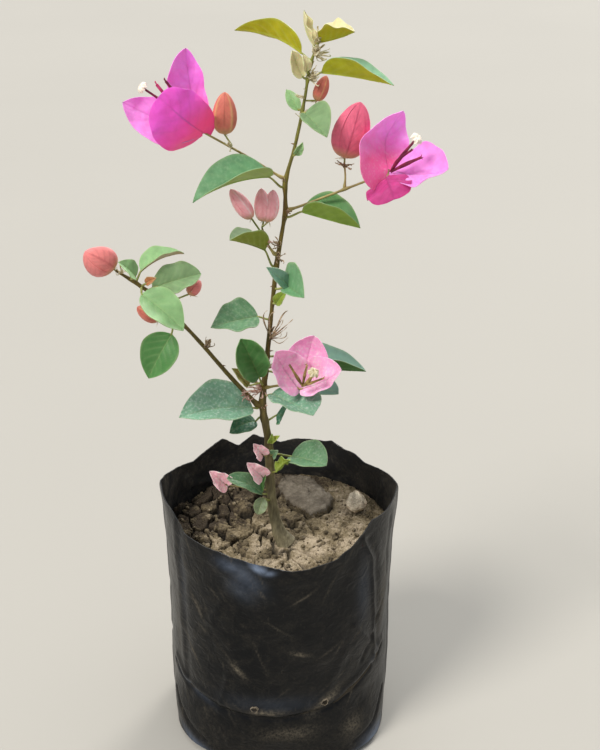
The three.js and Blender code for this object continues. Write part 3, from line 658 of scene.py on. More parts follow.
def adjusted(blade, style):
    """The blade with the shifts, the facing and the width that its style gives it."""
    base = blade.base + np.array(style.get("base_shift", (0, 0, 0))) * MM
    tip = blade.tip + np.array(style.get("tip_shift", (0, 0, 0))) * MM
    along = unit(tip - base)
    across = unit(np.cross(along, np.array(style.get("facing", blade.up), float)))
    half = blade.half * style.get("width", 1.0)
    return Blade(blade.foot, base, tip, across, np.cross(across, along), half, blade.fold, blade.arch)


def nearest_axis(point):
    """The nearest place on any limb's centreline."""
    steps = np.linspace(0, 1, 240)
    places = np.concatenate([limb.at(steps) for limb in LIMBS.values()])
    return places[np.argmin(np.linalg.norm(places - point, axis=1))]


def add_petiole(batch, blade, finish, radius):
    """A blade's stalk, from the middle of its limb to its base."""
    start = nearest_axis(blade.foot)
    if np.linalg.norm(start - blade.foot) > 5 * MM:
        start = blade.foot
    knots = np.array([start, blade.foot, blade.base, blade.base + unit(blade.tip - blade.base) * 0.8 * MM])
    lengths = np.concatenate([[0], np.cumsum(np.linalg.norm(np.diff(knots, axis=0), axis=1) + 1e-9)])
    steps = np.linspace(0, lengths[-1], 12)
    path = np.stack([np.interp(steps, lengths, knots[:, k]) for k in range(3)], axis=1)
    for _ in range(2):
        path[1:-1] = (path[:-2] + path[1:-1] + path[2:]) / 3
    add_tube(batch, path, radius * np.linspace(1.2, 0.85, 12), finish, sides=8)


def add_leaf(batch, blade, style, sizes):
    blade = adjusted(blade, style)
    grid, marks, shares = blade_grid(
        blade, sizes.rows, sizes.columns, 0.55, style, sizes.ripple, sizes.veins, sizes.vein_depth, PLAIN_HALF,
        1.0,
    )
    upper, lower = "leaf_" + style["upper"], "leaf_" + style["lower"]
    add_sheet(batch, grid, sizes.thickness, upper, lower, marks, shares)
    add_petiole(batch, blade, "green_stalk", sizes.stalk_radius)
    rib = grid[: int(sizes.rows * 0.85), sizes.columns // 2]
    rib = rib[::3] - blade.up * sizes.thickness * 0.6
    add_tube(batch, rib, np.linspace(0.42, 0.12, len(rib)) * MM, lower, sides=6)


def add_bract(batch, blade, style, sizes):
    blade = adjusted(blade, style)
    grid, marks, shares = blade_grid(
        blade, sizes.rows, sizes.columns, 0.36, {"wave": 0.8, **style}, sizes.ripple, 5, sizes.vein_depth,
        FULL_HALF, 0,
    )
    crumple = field(grid, 7 * MM, 3.1) * sizes.crumple + field(grid, 2.6 * MM, 8.4) * sizes.crumple * 0.3
    grid = grid + (crumple * np.sin(math.pi * np.clip(shares, 0.03, 1)) ** 0.5)[..., None] * blade.up
    inner, outer = "bract_" + style["upper"], "bract_" + style["lower"]
    add_sheet(batch, grid, sizes.thickness, inner, outer, marks, shares)
    add_petiole(batch, blade, "brown_stalk", 0.42 * MM)
    rib = grid[: int(sizes.rows * 0.8), sizes.columns // 2]
    rib = rib[::3] - blade.up * sizes.thickness * 0.6
    add_tube(batch, rib, np.linspace(0.4, 0.1, len(rib)) * MM, outer, sides=6, marks=0.8)


def add_star(batch, centre, axis, radius, finish):
    """An open true flower: a frilled cream limb of five notched lobes."""
    side = unit(np.cross(axis, [0.3, 0.2, 1.0]))
    other = np.cross(axis, side)
    angles = np.linspace(0, 2 * math.pi, 61)
    rings = []
    for step in np.linspace(0.06, 1, 9):
        reach = radius * step * (1 - 0.2 * step * (1 - np.cos(5 * angles)) / 2)
        frill = 0.2 * radius * step ** 2 * np.sin(10 * angles)
        rise = radius * (0.5 * step ** 0.5 - 0.75 * step ** 3) + frill
        rings.append(ring_at(centre, side, other, reach, angles) + np.outer(rise, axis))
    add_sheet(batch, np.array(rings), 0.3 * MM, finish, finish, 0, 0.5)


def add_tubes(batch, heart, plans, start, rng):
    """The true flowers of one bloom, from its heart outwards."""
    foot = heart + np.array(start) * MM
    for reach, thick, finish, star in plans:
        end = heart + np.array(reach) * MM
        steps = np.linspace(0, 1, 14)[:, None]
        sway = np.sin(math.pi * steps) * rng.normal(0, 0.6 * MM, 3)
        path = foot + (end - foot) * steps + sway
        swell = 0.75 + 0.45 * np.exp(-(((np.linspace(0, 1, 14) - 0.45) / 0.22) ** 2))
        add_tube(batch, path, thick * MM * swell, finish, sides=10)
        if star:
            size, cream = star
            add_star(batch, path[-1], unit(path[-1] - path[-3] + STAR_LEAN), size * MM, cream)
        else:
            for _ in range(4):
                way = unit(path[-1] - path[-3]) + rng.normal(0, 0.5, 3)
                hair = path[-1] + np.outer(np.linspace(0, 1, 4), unit(way)) * rng.uniform(1.0, 2.0) * MM
                add_tube(batch, hair, np.linspace(0.35, 0.12, 4) * MM, finish, sides=5)


def add_bud(batch, bud, style, rng, rows=36, columns=27):
    """A closed bud: three cupped bracts that lap over each other, each with a midrib and side veins."""
    tint, turned, widened = style
    share = np.linspace(0, 1, rows)[:, None]
    spread = np.linspace(-1, 1, columns)[None, :]
    out = np.abs(spread)
    front = np.array([0, -0.9, 0.45])
    first = unit(front - bud.along * (front @ bud.along))
    second = np.cross(bud.along, first)
    body = np.clip(share, 0.002, 0.998)
    swell = body ** 0.42 * (1 - body) ** 0.62
    swell = swell / swell.max()
    bend = 0.035 * np.sin(math.pi * share) * np.linalg.norm(bud.tip - bud.base)
    veins = side_veins(share, out, 6, 0.3)
    for index in range(3):
        angle = math.radians(turned + 120 * index) + spread * math.radians(66) * (1 - 0.12 * share)
        way = np.cos(angle)[..., None] * first + np.sin(angle)[..., None] * second
        broad, deep = way @ bud.broad / (bud.broad_half * widened), way @ bud.deep / bud.deep_half
        radius = 0.93 / np.sqrt(broad ** 2 + deep ** 2)
        ridge = np.exp(-((out / 0.09) ** 2))
        shape = 1 + 0.06 * ridge + 0.05 * spread * np.sin(math.pi * share) - 0.1 * out ** 4 * (1 - share)
        shape = shape + 0.05 * out ** 6 * np.sin(math.pi * share) - 0.015 * veins
        reach = np.maximum(radius * swell * shape, 0.2 * MM)
        grid = bud.base + share[..., None] * (bud.tip - bud.base) + bend[..., None] * first
        grid = grid + reach[..., None] * way
        # On the pink buds these marks carry the painted highlight
        marks = np.clip(ridge * (1 - 0.3 * share) + (0.15 if tint == "salmon" else 0.4) * veins, 0, 1)
        add_sheet(batch, grid, 0.35 * MM, "bud_" + tint, "bud_" + tint, marks, np.broadcast_to(share, marks.shape))
    start = nearest_axis(bud.foot)
    knots = np.array([start, bud.foot, bud.base, bud.base + bud.along * 1.5 * MM])
    steps = np.linspace(0, 3, 10)
    path = np.stack([np.interp(steps, range(4), knots[:, k]) for k in range(3)], axis=1)
    add_tube(batch, path, np.array([0.5] * 7 + [0.6, 0.9, 1.1]) * MM, "green_stalk", sides=8)
    for _ in range(7):
        heading = unit(rng.normal(0, 1, 3) + 0.4 * bud.along)
        strip = bud.base + np.outer(np.linspace(0, 1, 6), heading) * rng.uniform(1.5, 3.6) * MM
        strip = strip + np.outer(np.linspace(0, 1, 6) ** 2, rng.normal(0, 1.2 * MM, 3))
        add_tube(batch, strip, np.linspace(0.3, 0.12, 6) * MM, "husk_pale", sides=5)


def add_husk(batch, centre, way, length, strips, finish, rng):
    """A tuft of dried strips: thin twisted blades that spread and curl from one place."""
    for _ in range(strips * 2):
        heading = unit(unit(np.array(way, float)) + rng.normal(0, 0.2 if finish == "husk_brown" else 0.42, 3))
        across = unit(np.cross(heading, rng.normal(0, 1, 3)))
        reach = length * MM * rng.uniform(0.35, 1.0)
        steps = np.linspace(0, 1, 11)[:, None]
        curl = rng.normal(0, 0.3, 3) * reach
        spine = centre + heading * reach * steps + curl * np.sin(2.6 * steps) * steps
        width = rng.uniform(0.16, 0.42) * MM * (0.4 + np.sin(math.pi * np.clip(steps, 0.08, 0.97)) ** 0.7)
        twist = np.cos(4 * steps) * across + np.sin(4 * steps) * np.cross(heading, across)
        grid = np.stack([spine - twist * width, spine, spine + twist * width], axis=1)
        add_sheet(batch, grid, 0.2 * MM, finish, finish, rng.uniform(0, 1), 0.5)


def add_thorn(batch, root, way, length):
    """A short thorn, thick where it leaves the bark and curved to its point."""
    steps = np.linspace(0, 1, 7)[:, None]
    hook = np.array([0, 0, -0.22]) * length * steps ** 2
    path = root + way * length * steps + hook
    add_tube(batch, path, np.linspace(0.62, 0.06, 7) * MM, "thorn", sides=7)


def add_bark(batch, limb, finish, size, relief, flare=False, feet=(), slim=((0, 1), (1, 1))):
    """A limb with its bark's relief: fine lengthwise ridges, lumps and a cushion under each organ."""
    sides, rows = size
    share = np.linspace(0, 1, rows)
    path = limb.at(share)
    kernel = np.hanning(9)
    pad = np.concatenate([np.repeat(path[:1], 4, 0), path, np.repeat(path[-1:], 4, 0)])
    path = np.stack([np.convolve(pad[:, k], kernel / kernel.sum(), "valid") for k in range(3)], axis=1)
    tangents = tangents_of(path)
    thinned = limb.radius(share) * np.interp(share, *np.array(slim, float).T)
    points = rings_along(path, tangents, thinned, unit(np.cross(tangents[0], [0, 1.0, 0])), sides)
    outward = points - path[:, None]
    radius = np.linalg.norm(outward, axis=2)[..., None]
    outward = outward / radius
    stretched = points * np.array([1, 1, 0.16]) if flare else points * 0.6
    ridges = field(stretched, 1.1 * MM, 5.0) + 0.5 * field(stretched, 0.5 * MM, 9.0)
    lumps = field(points, 6 * MM, 2.0)
    # The marks set painted shade in the furrows between the ridges
    marks = np.clip(0.5 - ridges, 0, 1)
    push = relief * (0.6 * ridges + 0.9 * lumps) * np.clip(radius[..., 0] / (2.4 * MM), 0.3, 1.4)
    if flare:
        low = np.exp(-(points[..., 2] - path[0, 2]) / (9 * MM))
        turn = np.arctan2(outward[..., 1], outward[..., 0])
        push = push + low * (0.5 * np.cos(3 * turn - 0.4) - 0.6) * MM
    for foot in feet:
        gap = np.linalg.norm(points - foot, axis=2)
        push = push + 0.5 * MM * np.exp(-((gap / (2.2 * MM)) ** 2))
    points = points + outward * push[..., None]
    batch.add(points, tube_faces(rows, sides), finish, marks, np.broadcast_to(share[:, None], marks.shape))


# The bag and its soil


def bag_sizes():
    low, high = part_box("bag")
    return (high.x - low.x) / 2, (high.y - low.y) / 2


BAG_HALF_WIDTH, BAG_HALF_DEPTH = bag_sizes()
BAG_FULL_FROM = 46 * MM
BAG_BOTTOM_TUCK = 5 * MM
BAG_SQUARE_BOTTOM = 2.5
SOIL_LEVEL = 151.5 * MM
SOIL_BACK_RISE = 2.5 * MM
# The smooth slab of clay behind the stem: its corners in millimetres, clockwise
SLAB_CORNERS = [(3, 52), (20, 50), (36, 25), (30, 11.5), (20, 7), (7, 19.5), (-2, 37)]
# Hollows in the soil, each darkened with painted shade: where, how wide and how deep, in millimetres
SOIL_HOLLOWS = [
    (8.5, -1, 3.6, 4.5), (37.4, -13.6, 2.3, 3.6), (-40, -34, 2.6, 3.2), (-3, 13, 3, 2.5), (-22, -28, 3, 3),
]


def bag_point(azimuth, height, inset):
    """Points on the bag's outline: nearly square at the bottom and oval above, drawn in by inset."""
    filled = np.clip(height / BAG_FULL_FROM, 0, 1)
    filled = filled * filled * (3 - 2 * filled)
    tuck = BAG_BOTTOM_TUCK * (1 - filled) ** 3
    power = BAG_SQUARE_BOTTOM + (2 - BAG_SQUARE_BOTTOM) * filled
    cosine, sine = np.cos(azimuth), np.sin(azimuth)
    x = (BAG_HALF_WIDTH - tuck - inset) * np.sign(cosine) * np.abs(cosine) ** (2 / power)
    y = (BAG_HALF_DEPTH - tuck - inset) * np.sign(sine) * np.abs(sine) ** (2 / power)
    return np.stack(np.broadcast_arrays(x, y, height), axis=-1)


def rim_heights(azimuth):
    """The rim's height round the bag, read from the solid and torn finer by nicks."""
    corners = corners_of("bag")
    top = corners[corners[:, 2] > 150 * MM]
    turn = np.degrees(np.arctan2(top[:, 1] / BAG_HALF_DEPTH, top[:, 0] / BAG_HALF_WIDTH)) % 360
    order = np.argsort(turn)
    degrees = np.degrees(azimuth) % 360
    heights = np.interp(degrees, turn[order], top[order, 2], period=360)
    for place, spread, lift in RIM_TEARS:
        heights = heights + lift * MM * np.exp(-(((degrees - place) / spread) ** 2))
    ragged = np.array([noise.noise(Vector((math.cos(a) * 9, math.sin(a) * 9, 4.4))) for a in azimuth])
    fine = np.array([noise.noise(Vector((math.cos(a) * 34, math.sin(a) * 34, 1.2))) for a in azimuth])
    return heights + (0.5 * ragged + 0.25 * fine) * MM


def crease_push(turn, height, crease):
    """How far one crease pushes the film, at places given by girth and height in metres."""
    path, out, spread = crease
    path = np.array(path, float)
    girth = (BAG_HALF_WIDTH + BAG_HALF_DEPTH) / 2
    knots = np.stack([np.radians(path[:, 0]) * girth, path[:, 1] * MM], axis=1)
    whole = 2 * math.pi * girth
    here = np.stack([turn * girth, height], axis=-1)
    nearest = np.full(height.shape, np.inf)
    for start, end in zip(knots[:-1], knots[1:]):
        for lap in (-whole, 0, whole):
            local = here - start + np.array([lap, 0])
            line = end - start
            share = np.clip((local @ line) / (line @ line), 0, 1)
            nearest = np.minimum(nearest, np.linalg.norm(local - share[..., None] * line, axis=-1))
    return out * MM * np.exp(-((nearest / (spread * MM)) ** 2))


def seeded_creases(rng):
    """Soft diagonal pulls all round the film, from its own weight."""
    pulls = []
    for _ in range(SEEDED_CREASES):
        turn, height = rng.uniform(0, 360), rng.uniform(20, 160)
        slope, length = rng.normal(0, 0.9), rng.uniform(14, 46)
        path = [(turn, height), (turn + length * math.sin(slope), min(height + length * math.cos(slope), 172))]
        pulls.append((path, rng.normal(0, 0.55), rng.uniform(1.6, 4.5)))
    return pulls


def film_push(points, turn, height, rng):
    """How far the film stands out from the bag's plain outline: creases, slack and drain holes' dimples."""
    push = field(points, 42 * MM, 1.0) * 1.3 * MM + field(points, 15 * MM, 6.0) * 0.45 * MM
    for crease in CREASES + seeded_creases(rng):
        push = push + crease_push(turn, height, crease)
    corner = np.cos(turn) ** 8 * np.clip((height - 140 * MM) / (40 * MM), 0, 1)
    hollow = np.sin(2 * turn) ** 2 * np.clip((height - 150 * MM) / (30 * MM), 0, 1)
    push = push + corner * 2.0 * MM - hollow * 1.3 * MM
    filled = np.clip(height / BAG_FULL_FROM, 0, 1)
    push = push + BAG_BOTTOM_TUCK * (1 - filled) ** 2 * (0.7 + 1.0 * np.abs(np.sin(2 * turn)))
    for azimuth, level in HOLES:
        dimple = [(azimuth, level), (azimuth, level + 0.1)], -0.9, 3
        push = push + crease_push(turn, height, dimple)
    return push * np.clip(height / (4 * MM), 0.3, 1)


def dealt_out(turn, height, marks):
    """How strongly each place on the film is marked by a list of long soft spots."""
    girth = (BAG_HALF_WIDTH + BAG_HALF_DEPTH) / 2
    amount = np.zeros_like(height)
    for azimuth, level, length, width, lean, strength in marks:
        gap = np.mod(np.radians(azimuth) - turn + math.pi, 2 * math.pi) - math.pi
        along, up = -gap * girth, height - level * MM
        cosine, sine = math.cos(math.radians(lean)), math.sin(math.radians(lean))
        far, near = (along * cosine + up * sine) / (length * MM), (up * cosine - along * sine) / (width * MM)
        amount = np.maximum(amount, strength * np.exp(-far ** 2 - near ** 2))
    return amount


def seeded_scratches(rng):
    """Thin scuffs that lean inwards going down, on the front and on the back."""
    scuffs = []
    for _ in range(SCRATCHES):
        azimuth = rng.uniform(0, 360)
        side = 1 if math.sin(math.radians(azimuth)) * math.cos(math.radians(azimuth)) < 0 else -1
        lean = side * rng.uniform(35, 75)
        length, width = rng.gamma(2.2, 2.0) + 1.5, rng.uniform(0.4, 0.9)
        scuffs.append((azimuth, rng.uniform(18, 165), length, width, lean, rng.gamma(2, 0.085)))
    return scuffs


def add_film(batch, sizes, rng):
    """The film as one closed shell: underside, outside, rim, inside and floor."""
    around, up = sizes.around, sizes.up
    turn = np.arange(around) * 2 * math.pi / around
    rim = rim_heights(turn)
    climb = np.linspace(0, 1, up)[:, None] ** 0.92
    height = climb * rim[None, :]
    turns = np.broadcast_to(turn, height.shape)
    outline = bag_point(turns, height, 0)
    push = film_push(outline, turns, height, rng)
    outward = np.stack([np.cos(turns), np.sin(turns), np.zeros_like(turns)], axis=-1)
    outside = outline + outward * push[..., None]
    inner_low = 120 * MM
    fall = np.linspace(0, 1, sizes.inside)[:, None]
    descent = rim[None, :] - 0.05 * MM - fall * (rim[None, :] - inner_low)
    track = np.array([np.interp(descent[:, k], height[:, k], push[:, k]) for k in range(around)]).T
    slack = field(bag_point(turns[: sizes.inside], descent, 0), 20 * MM, 12.0) * 0.5 * MM * fall
    inside = bag_point(turns[: sizes.inside], descent, sizes.wall)
    inside = inside + outward[: sizes.inside] * (track + slack)[..., None]
    deep = bag_point(turn, np.full(around, 3 * MM), 2.2 * MM)[None]
    floor = deep * np.array([0.4, 0.4, 1])
    base = [outside[0] * np.array([share, share, 0]) for share in (0.15, 0.6, 0.93)]
    grid = np.concatenate([np.array(base), outside, inside, deep, floor])
    faces = tube_faces(len(grid), around)
    finishes = ["polythene_outside"] * ((len(base) + up - 1) * around)
    finishes += ["polythene_inside"] * (len(faces) - len(finishes))
    # blooms holds the painted sheen, and dust the dried soil and scuffs
    blooms, dust = np.zeros(grid.shape[:2]), np.zeros(grid.shape[:2])
    blooms[len(base):len(base) + up] = dealt_out(turns, height, PAINTED_SHEEN)
    dust[len(base):len(base) + up] = dealt_out(turns, height, SMEARS + seeded_scratches(rng))
    batch.add(grid, faces, finishes, blooms, dust)
    return turns, height, outside


def add_drain_hole(batch, azimuth, height, film):
    """A punched hole: a raised ragged lip round a disc painted nearly black as the shaded soil behind it."""
    turn = math.radians(azimuth)
    turns, heights, outside = film
    nearest = np.argmin(((turns - turn) * BAG_HALF_DEPTH) ** 2 + (heights - height * MM) ** 2)
    centre = outside.reshape(-1, 3)[nearest]
    outward = unit(np.array([math.cos(turn) / BAG_HALF_WIDTH, math.sin(turn) / BAG_HALF_DEPTH, 0]))
    side = np.array([-outward[1], outward[0], 0])
    up = np.array([0, 0, 1.0])
    angles = np.linspace(0, 2 * math.pi, 25)[:-1]
    ragged = 1 + 0.12 * np.sin(3 * angles + azimuth) + 0.07 * np.sin(7 * angles)
    profile = [
        (0.0, 0.15), (0.3, 0.2), (0.62, 0.1), (0.85, 0.12), (1.0, 0.5), (1.15, 0.6), (1.35, 0.35), (1.6, -0.7),
    ]
    rings = []
    for reach, stand in profile:
        radius = HOLE_RADIUS * MM * max(reach, 0.02) * ragged
        rings.append(ring_at(centre + outward * stand * MM, side, up, radius, angles))
    rings.append(centre - outward * 2.2 * MM + (rings[-1] - centre) * 0.9)
    grid = np.array(rings)[:, ::-1]
    faces = tube_faces(len(grid), len(angles))
    # The inner disc takes the painted shade of the hole
    finishes = ["hole_dark"] * (4 * len(angles)) + ["hole_soil"] * (len(faces) - 4 * len(angles))
    batch.add(grid, faces, finishes, 0, 0.2)


def disc_grid(columns, rows):
    """A grid of places that fills the unit disc, from a square drawn out to its corners."""
    u, v = np.meshgrid(np.linspace(-1, 1, columns), np.linspace(-1, 1, rows))
    return u * np.sqrt(1 - v * v / 2), v * np.sqrt(1 - u * u / 2)


def cells(places, spacing, rng, reach):
    """The two nearest cell middles of each place: their distances, and which cell it is in, with the middles."""
    lines = np.arange(-reach, reach, spacing)
    middles = np.array([(a, b) for a in lines for b in lines])
    middles = middles + rng.uniform(-0.48, 0.48, middles.shape) * spacing
    gaps = np.linalg.norm(places[..., None, :] - middles, axis=-1)
    nearest = np.argpartition(gaps, 1, axis=-1)[..., :2]
    pair = np.sort(np.take_along_axis(gaps, nearest, axis=-1), axis=-1)
    owner = np.argmin(gaps, axis=-1)
    return pair[..., 1] - pair[..., 0], owner, middles


def soil_relief(x, y, sizes, rng):
    """The soil's surface: its height, how deep in a crack each place is, which also sets painted shade there, in
    the hollows and under the slab's edge, where it is smooth clay, and how dry, with painted shade towards the
    back.
    """
    flat = np.stack([x, y, np.zeros_like(x)], axis=-1)
    warp = [
        field(flat, 15 * MM, seed) * 4.5 * MM + field(flat, 5 * MM, seed + 4) * 1.6 * MM
        + field(flat, 2 * MM, seed + 9) * 0.9 * MM for seed in (3.0, 13.0)
    ]
    places = np.stack([x + warp[0], y + warp[1]], axis=-1)
    gap, owner, middles = cells(places, sizes.clod * MM, rng, 85 * MM)
    fine_gap, fine_owner, fine_middles = cells(places * 1.3, 0.62 * sizes.clod * MM, rng, 100 * MM)
    rough = np.clip(0.62 - x / (60 * MM) + 0.45 * field(flat, 25 * MM, 21.0), 0.2, 1)
    opening = np.clip(0.35 + 1.3 * (field(flat, 22 * MM, 51.0) + 0.5), 0.15, 2.2) * sizes.crack * MM
    crack = np.clip(1.5 - gap / opening, 0, 1) * rough
    fine_crack = np.clip(1.4 - fine_gap / (0.45 * MM), 0, 1) * rough * (0.35 + field(flat, 12 * MM, 61.0))
    lift = rng.normal(0, 1.0, len(middles)) * MM
    tilt = rng.normal(0, 0.17, (len(middles), 2))
    slope = ((places - middles[owner]) * tilt[owner]).sum(axis=-1)
    fine_lift = rng.normal(0, 0.3, len(fine_middles)) * MM
    level = SOIL_LEVEL + SOIL_BACK_RISE * y / BAG_HALF_DEPTH
    height = level + rough * (lift[owner] + slope + fine_lift[fine_owner])
    slab_out = np.full(x.shape, -1.0)
    for start, end in zip(SLAB_CORNERS, SLAB_CORNERS[1:] + SLAB_CORNERS[:1]):
        run = unit(np.subtract(end, start, dtype=float))
        slab_out = np.maximum(slab_out, (y - start[1] * MM) * run[0] - (x - start[0] * MM) * run[1])
    slab_out = slab_out / MM + 1.5 * field(flat, 8 * MM, 41.0) + 0.4 * field(flat, 2.5 * MM, 43.0)
    slab = 1 / (1 + np.exp(np.clip(slab_out / (0.4 + 1.6 * np.clip((y - 30 * MM) / (15 * MM), 0, 1)), -20, 20)))
    grit = field(flat, 1.2 * MM, 5.0) * 0.5 + field(flat, 2.6 * MM, 9.0) * 0.45 + field(flat, 6 * MM, 31.0) * 0.8
    height = height + grit * MM * (1 - 0.9 * slab)
    height = height - (crack * sizes.crack_depth + np.clip(fine_crack, 0, 1) * 1.4) * MM * (1 - 0.9 * slab)
    height = height + slab * (2.2 + 0.4 * field(flat, 5 * MM, 71.0)) * MM
    edge = np.exp(-(((slab_out - 1.1) / 0.9) ** 2)) * np.clip((26 * MM - y) / (10 * MM), 0, 1)
    height = height - edge * 4.5 * MM
    # Painted shade: the groove under the slab's lower edge and each hollow below are darkened in the soil's colour
    deep = edge
    for hole_x, hole_y, radius, depth in SOIL_HOLLOWS:
        reach = np.hypot(x - hole_x * MM, (y - hole_y * MM) * 1.25) / (radius * MM)
        pit = np.exp(-(np.clip(reach + 0.4 * field(flat, 3 * MM, hole_x), 0, 9) ** 3))
        height = height - pit * depth * MM
        deep = np.maximum(deep, pit)
    foot = LIMBS["stem"].path[0]
    collar = np.exp(-((np.hypot(x - foot[0], y - foot[1]) / (9.5 * MM)) ** 4))
    height = height * (1 - collar) + collar * (foot[2] + (0.9 + grit) * MM)
    # Drier to the right and at random, and darker towards the back and lighter to the front as painted shade of
    # the film
    dry = 0.2 * x / BAG_HALF_WIDTH + 0.08 - 0.24 * y / BAG_HALF_DEPTH + 0.14 * field(flat, 20 * MM, 81.0)
    dry = dry + 0.06 * fine_lift[fine_owner] / (0.3 * MM) * rough
    return height, np.clip((crack * 1.2 + fine_crack * 0.7) * (1 - slab) + deep, 0, 1), slab, dry


def add_soil(batch, sizes, rng):
    """The soil as one closed body: its broken top, its side against the film and its floor."""
    columns, rows = sizes.columns, sizes.rows
    u, v = disc_grid(columns, rows)
    inset = 1.3 * MM
    x = u * (BAG_HALF_WIDTH - inset)
    y = v * (BAG_HALF_DEPTH - inset)
    height, crack, slab, dry = soil_relief(x, y, sizes, rng)
    rim = np.clip((np.hypot(u, v) - 0.96) / 0.04, 0, 1)
    height = height - rim * 1.6 * MM
    top = np.stack([x, y, height], axis=-1)
    faces = grid_faces(rows, columns)
    tint = np.where(slab[:-1, :-1].ravel() > 0.5, "clay", "loam")
    finishes = [str(name) for name in tint]
    edge = grid_edge(rows, columns)
    points = [top.reshape(-1, 3)]
    ring, count = edge, rows * columns
    for level, draw in ((120, 1.0), (46, 1.0), (8, 0.93), (3, 0.9)):
        lower = points[0][edge] * np.array([draw, draw, 0]) + np.array([0, 0, level * MM])
        following = list(range(count, count + len(edge)))
        for i, start in enumerate(ring):
            j = (i + 1) % len(ring)
            faces.append((start, following[i], following[j], ring[j]))
        points.append(lower)
        ring, count = following, count + len(edge)
    faces.append(tuple(ring[::-1]))
    finishes += ["loam"] * (len(faces) - len(finishes))
    # The soil's side against the film and its floor take the full painted crack shade
    marks = np.concatenate([crack.ravel(), np.ones(count - rows * columns)])
    shares = np.concatenate([dry.ravel(), np.full(count - rows * columns, 0.3)])
    batch.add(np.concatenate(points), faces, finishes, marks, shares)
    return x, y, height, slab


def add_stone(batch, centre, size, finish, rng, detail=2, roughness=0.18):
    """A small rounded stone or clod, uneven all over."""
    points, faces = even_ball(detail)
    offset = rng.uniform(0, 50)
    bumps = field(points * 0.01, 0.011, offset) * roughness + field(points * 0.01, 0.005, offset) * roughness * 0.5
    stretch = np.asarray(size) * MM
    points = points * (1 + bumps[:, None]) * stretch
    # The mark sets painted shade in the stone's dips
    batch.add(points + centre, faces, finish, np.clip(0.4 - 2 * bumps, 0, 1), 0.15)


@functools.cache
def even_ball(detail):
    """The points and faces of a ball of even triangles."""
    ball = bmesh.new()
    bmesh.ops.create_icosphere(ball, subdivisions=detail, radius=1)
    points = np.array([corner.co for corner in ball.verts])
    faces = [tuple(corner.index for corner in face.verts) for face in ball.faces]
    ball.free()
    return points, faces


# Finishes


def add_node(tree, kind, values=(), links=(), stops=(), output=0, **settings):
    """Adds a shader node with its settings, input values, links and colour stops, and gives one of its outputs."""
    made = tree.nodes.new("ShaderNode" + kind)
    for key, value in settings.items():
        setattr(made, key, value)
    for key, value in dict(values).items():
        made.inputs[key].default_value = value
    for key, source in dict(links).items():
        tree.links.new(source, made.inputs[key])
    for index, (place, colour) in enumerate(stops):
        elements = made.color_ramp.elements
        stop = elements[index] if index < 2 else elements.new(place)
        stop.position = place
        stop.color = colour
    return made.outputs[output]


GREY = {0: (0, 0, 0, 1), 1: (1, 1, 1, 1)}


def start_material(name):
    """A new material's tree, its main shader and the places on the object, in metres."""
    made = bpy.data.materials.new(name)
    made.use_nodes = True
    tree = made.node_tree
    shader = tree.nodes["Principled BSDF"]
    places = add_node(tree, "TexCoord", output="Object")
    return made, tree, shader, places


def dress(tree, shader, body, height, strength, depth):
    """Gives a shader its colour and its relief, whose depth is in millimetres."""
    raised = add_node(tree, "Bump", {"Strength": strength, "Distance": depth * MM}, {"Height": height})
    tree.links.new(body, shader.inputs["Base Color"])
    tree.links.new(raised, shader.inputs["Normal"])


# Living tissue. A leaf is thin and waxy: a satin shine over patchy green, with paler veins and a little light
# coming through. A bract is papery and dry: dull, with a network of darker veins, glowing against the light. A
# bud's bracts are folded and downy: matt, with ribs and a browner foot. Patches and cells are in millimetres. The
# real cells are far finer than the render shows, so their network is drawn about a millimetre wide.
TISSUES = {
    "leaf": {
        "label": "waxy_leaf_", "veins": 0.45, "roughness": 0.45, "patch": 6, "cell": 1.1, "relief": 0.35,
        "sheen": 0.0, "glow": 0.32,
    },
    "bract": {
        "label": "papery_bract_", "veins": 0.42, "roughness": 0.6, "patch": 9, "cell": 1.6, "relief": 0.5,
        "sheen": 0.1, "foot_share": 0.6, "glow": 0.6,
    },
    "bud": {
        "label": "downy_bud_", "veins": 0.6, "roughness": 0.6, "patch": 4, "cell": 1.0, "relief": 0.5,
        "sheen": 0.15, "foot_share": 0.22, "glow": 0.3,
    },
}
# How strongly pale dust or dried spots show on some tints, their colour and their spacing in millimetres
SPECKS = {
    "dusty_teal": 0.3, "teal": 0.12, "dark_teal": 0.15, "soft_teal": 0.08, "faded": 0.6, "dusty": 0.85,
    "pink_magenta": 0.2,
}
SPECK_TINT, SPECK_SPACING = "#e9e4da", 1.5
LEAF_VEIN = "#c4d59a"


def vein_and_foot(kind, tint_name, tint, colours):
    """The colour of a tissue's veins, and of its foot where that is another."""
    if kind == "leaf":
        return tuple(np.array(tint[:3]) * 0.5 + np.array(linear(LEAF_VEIN)[:3]) * 0.5) + (1.0,), None
    if kind == "bud":
        return linear(BUD_RIBS_AND_HIGHLIGHTS[tint_name]), tuple(colours.foot)
    redder = "magenta" in tint_name or tint_name == "glowing"
    return tuple(np.array(tint[:3]) * 0.5) + (1.0,), tuple(colours.foot) if redder else None


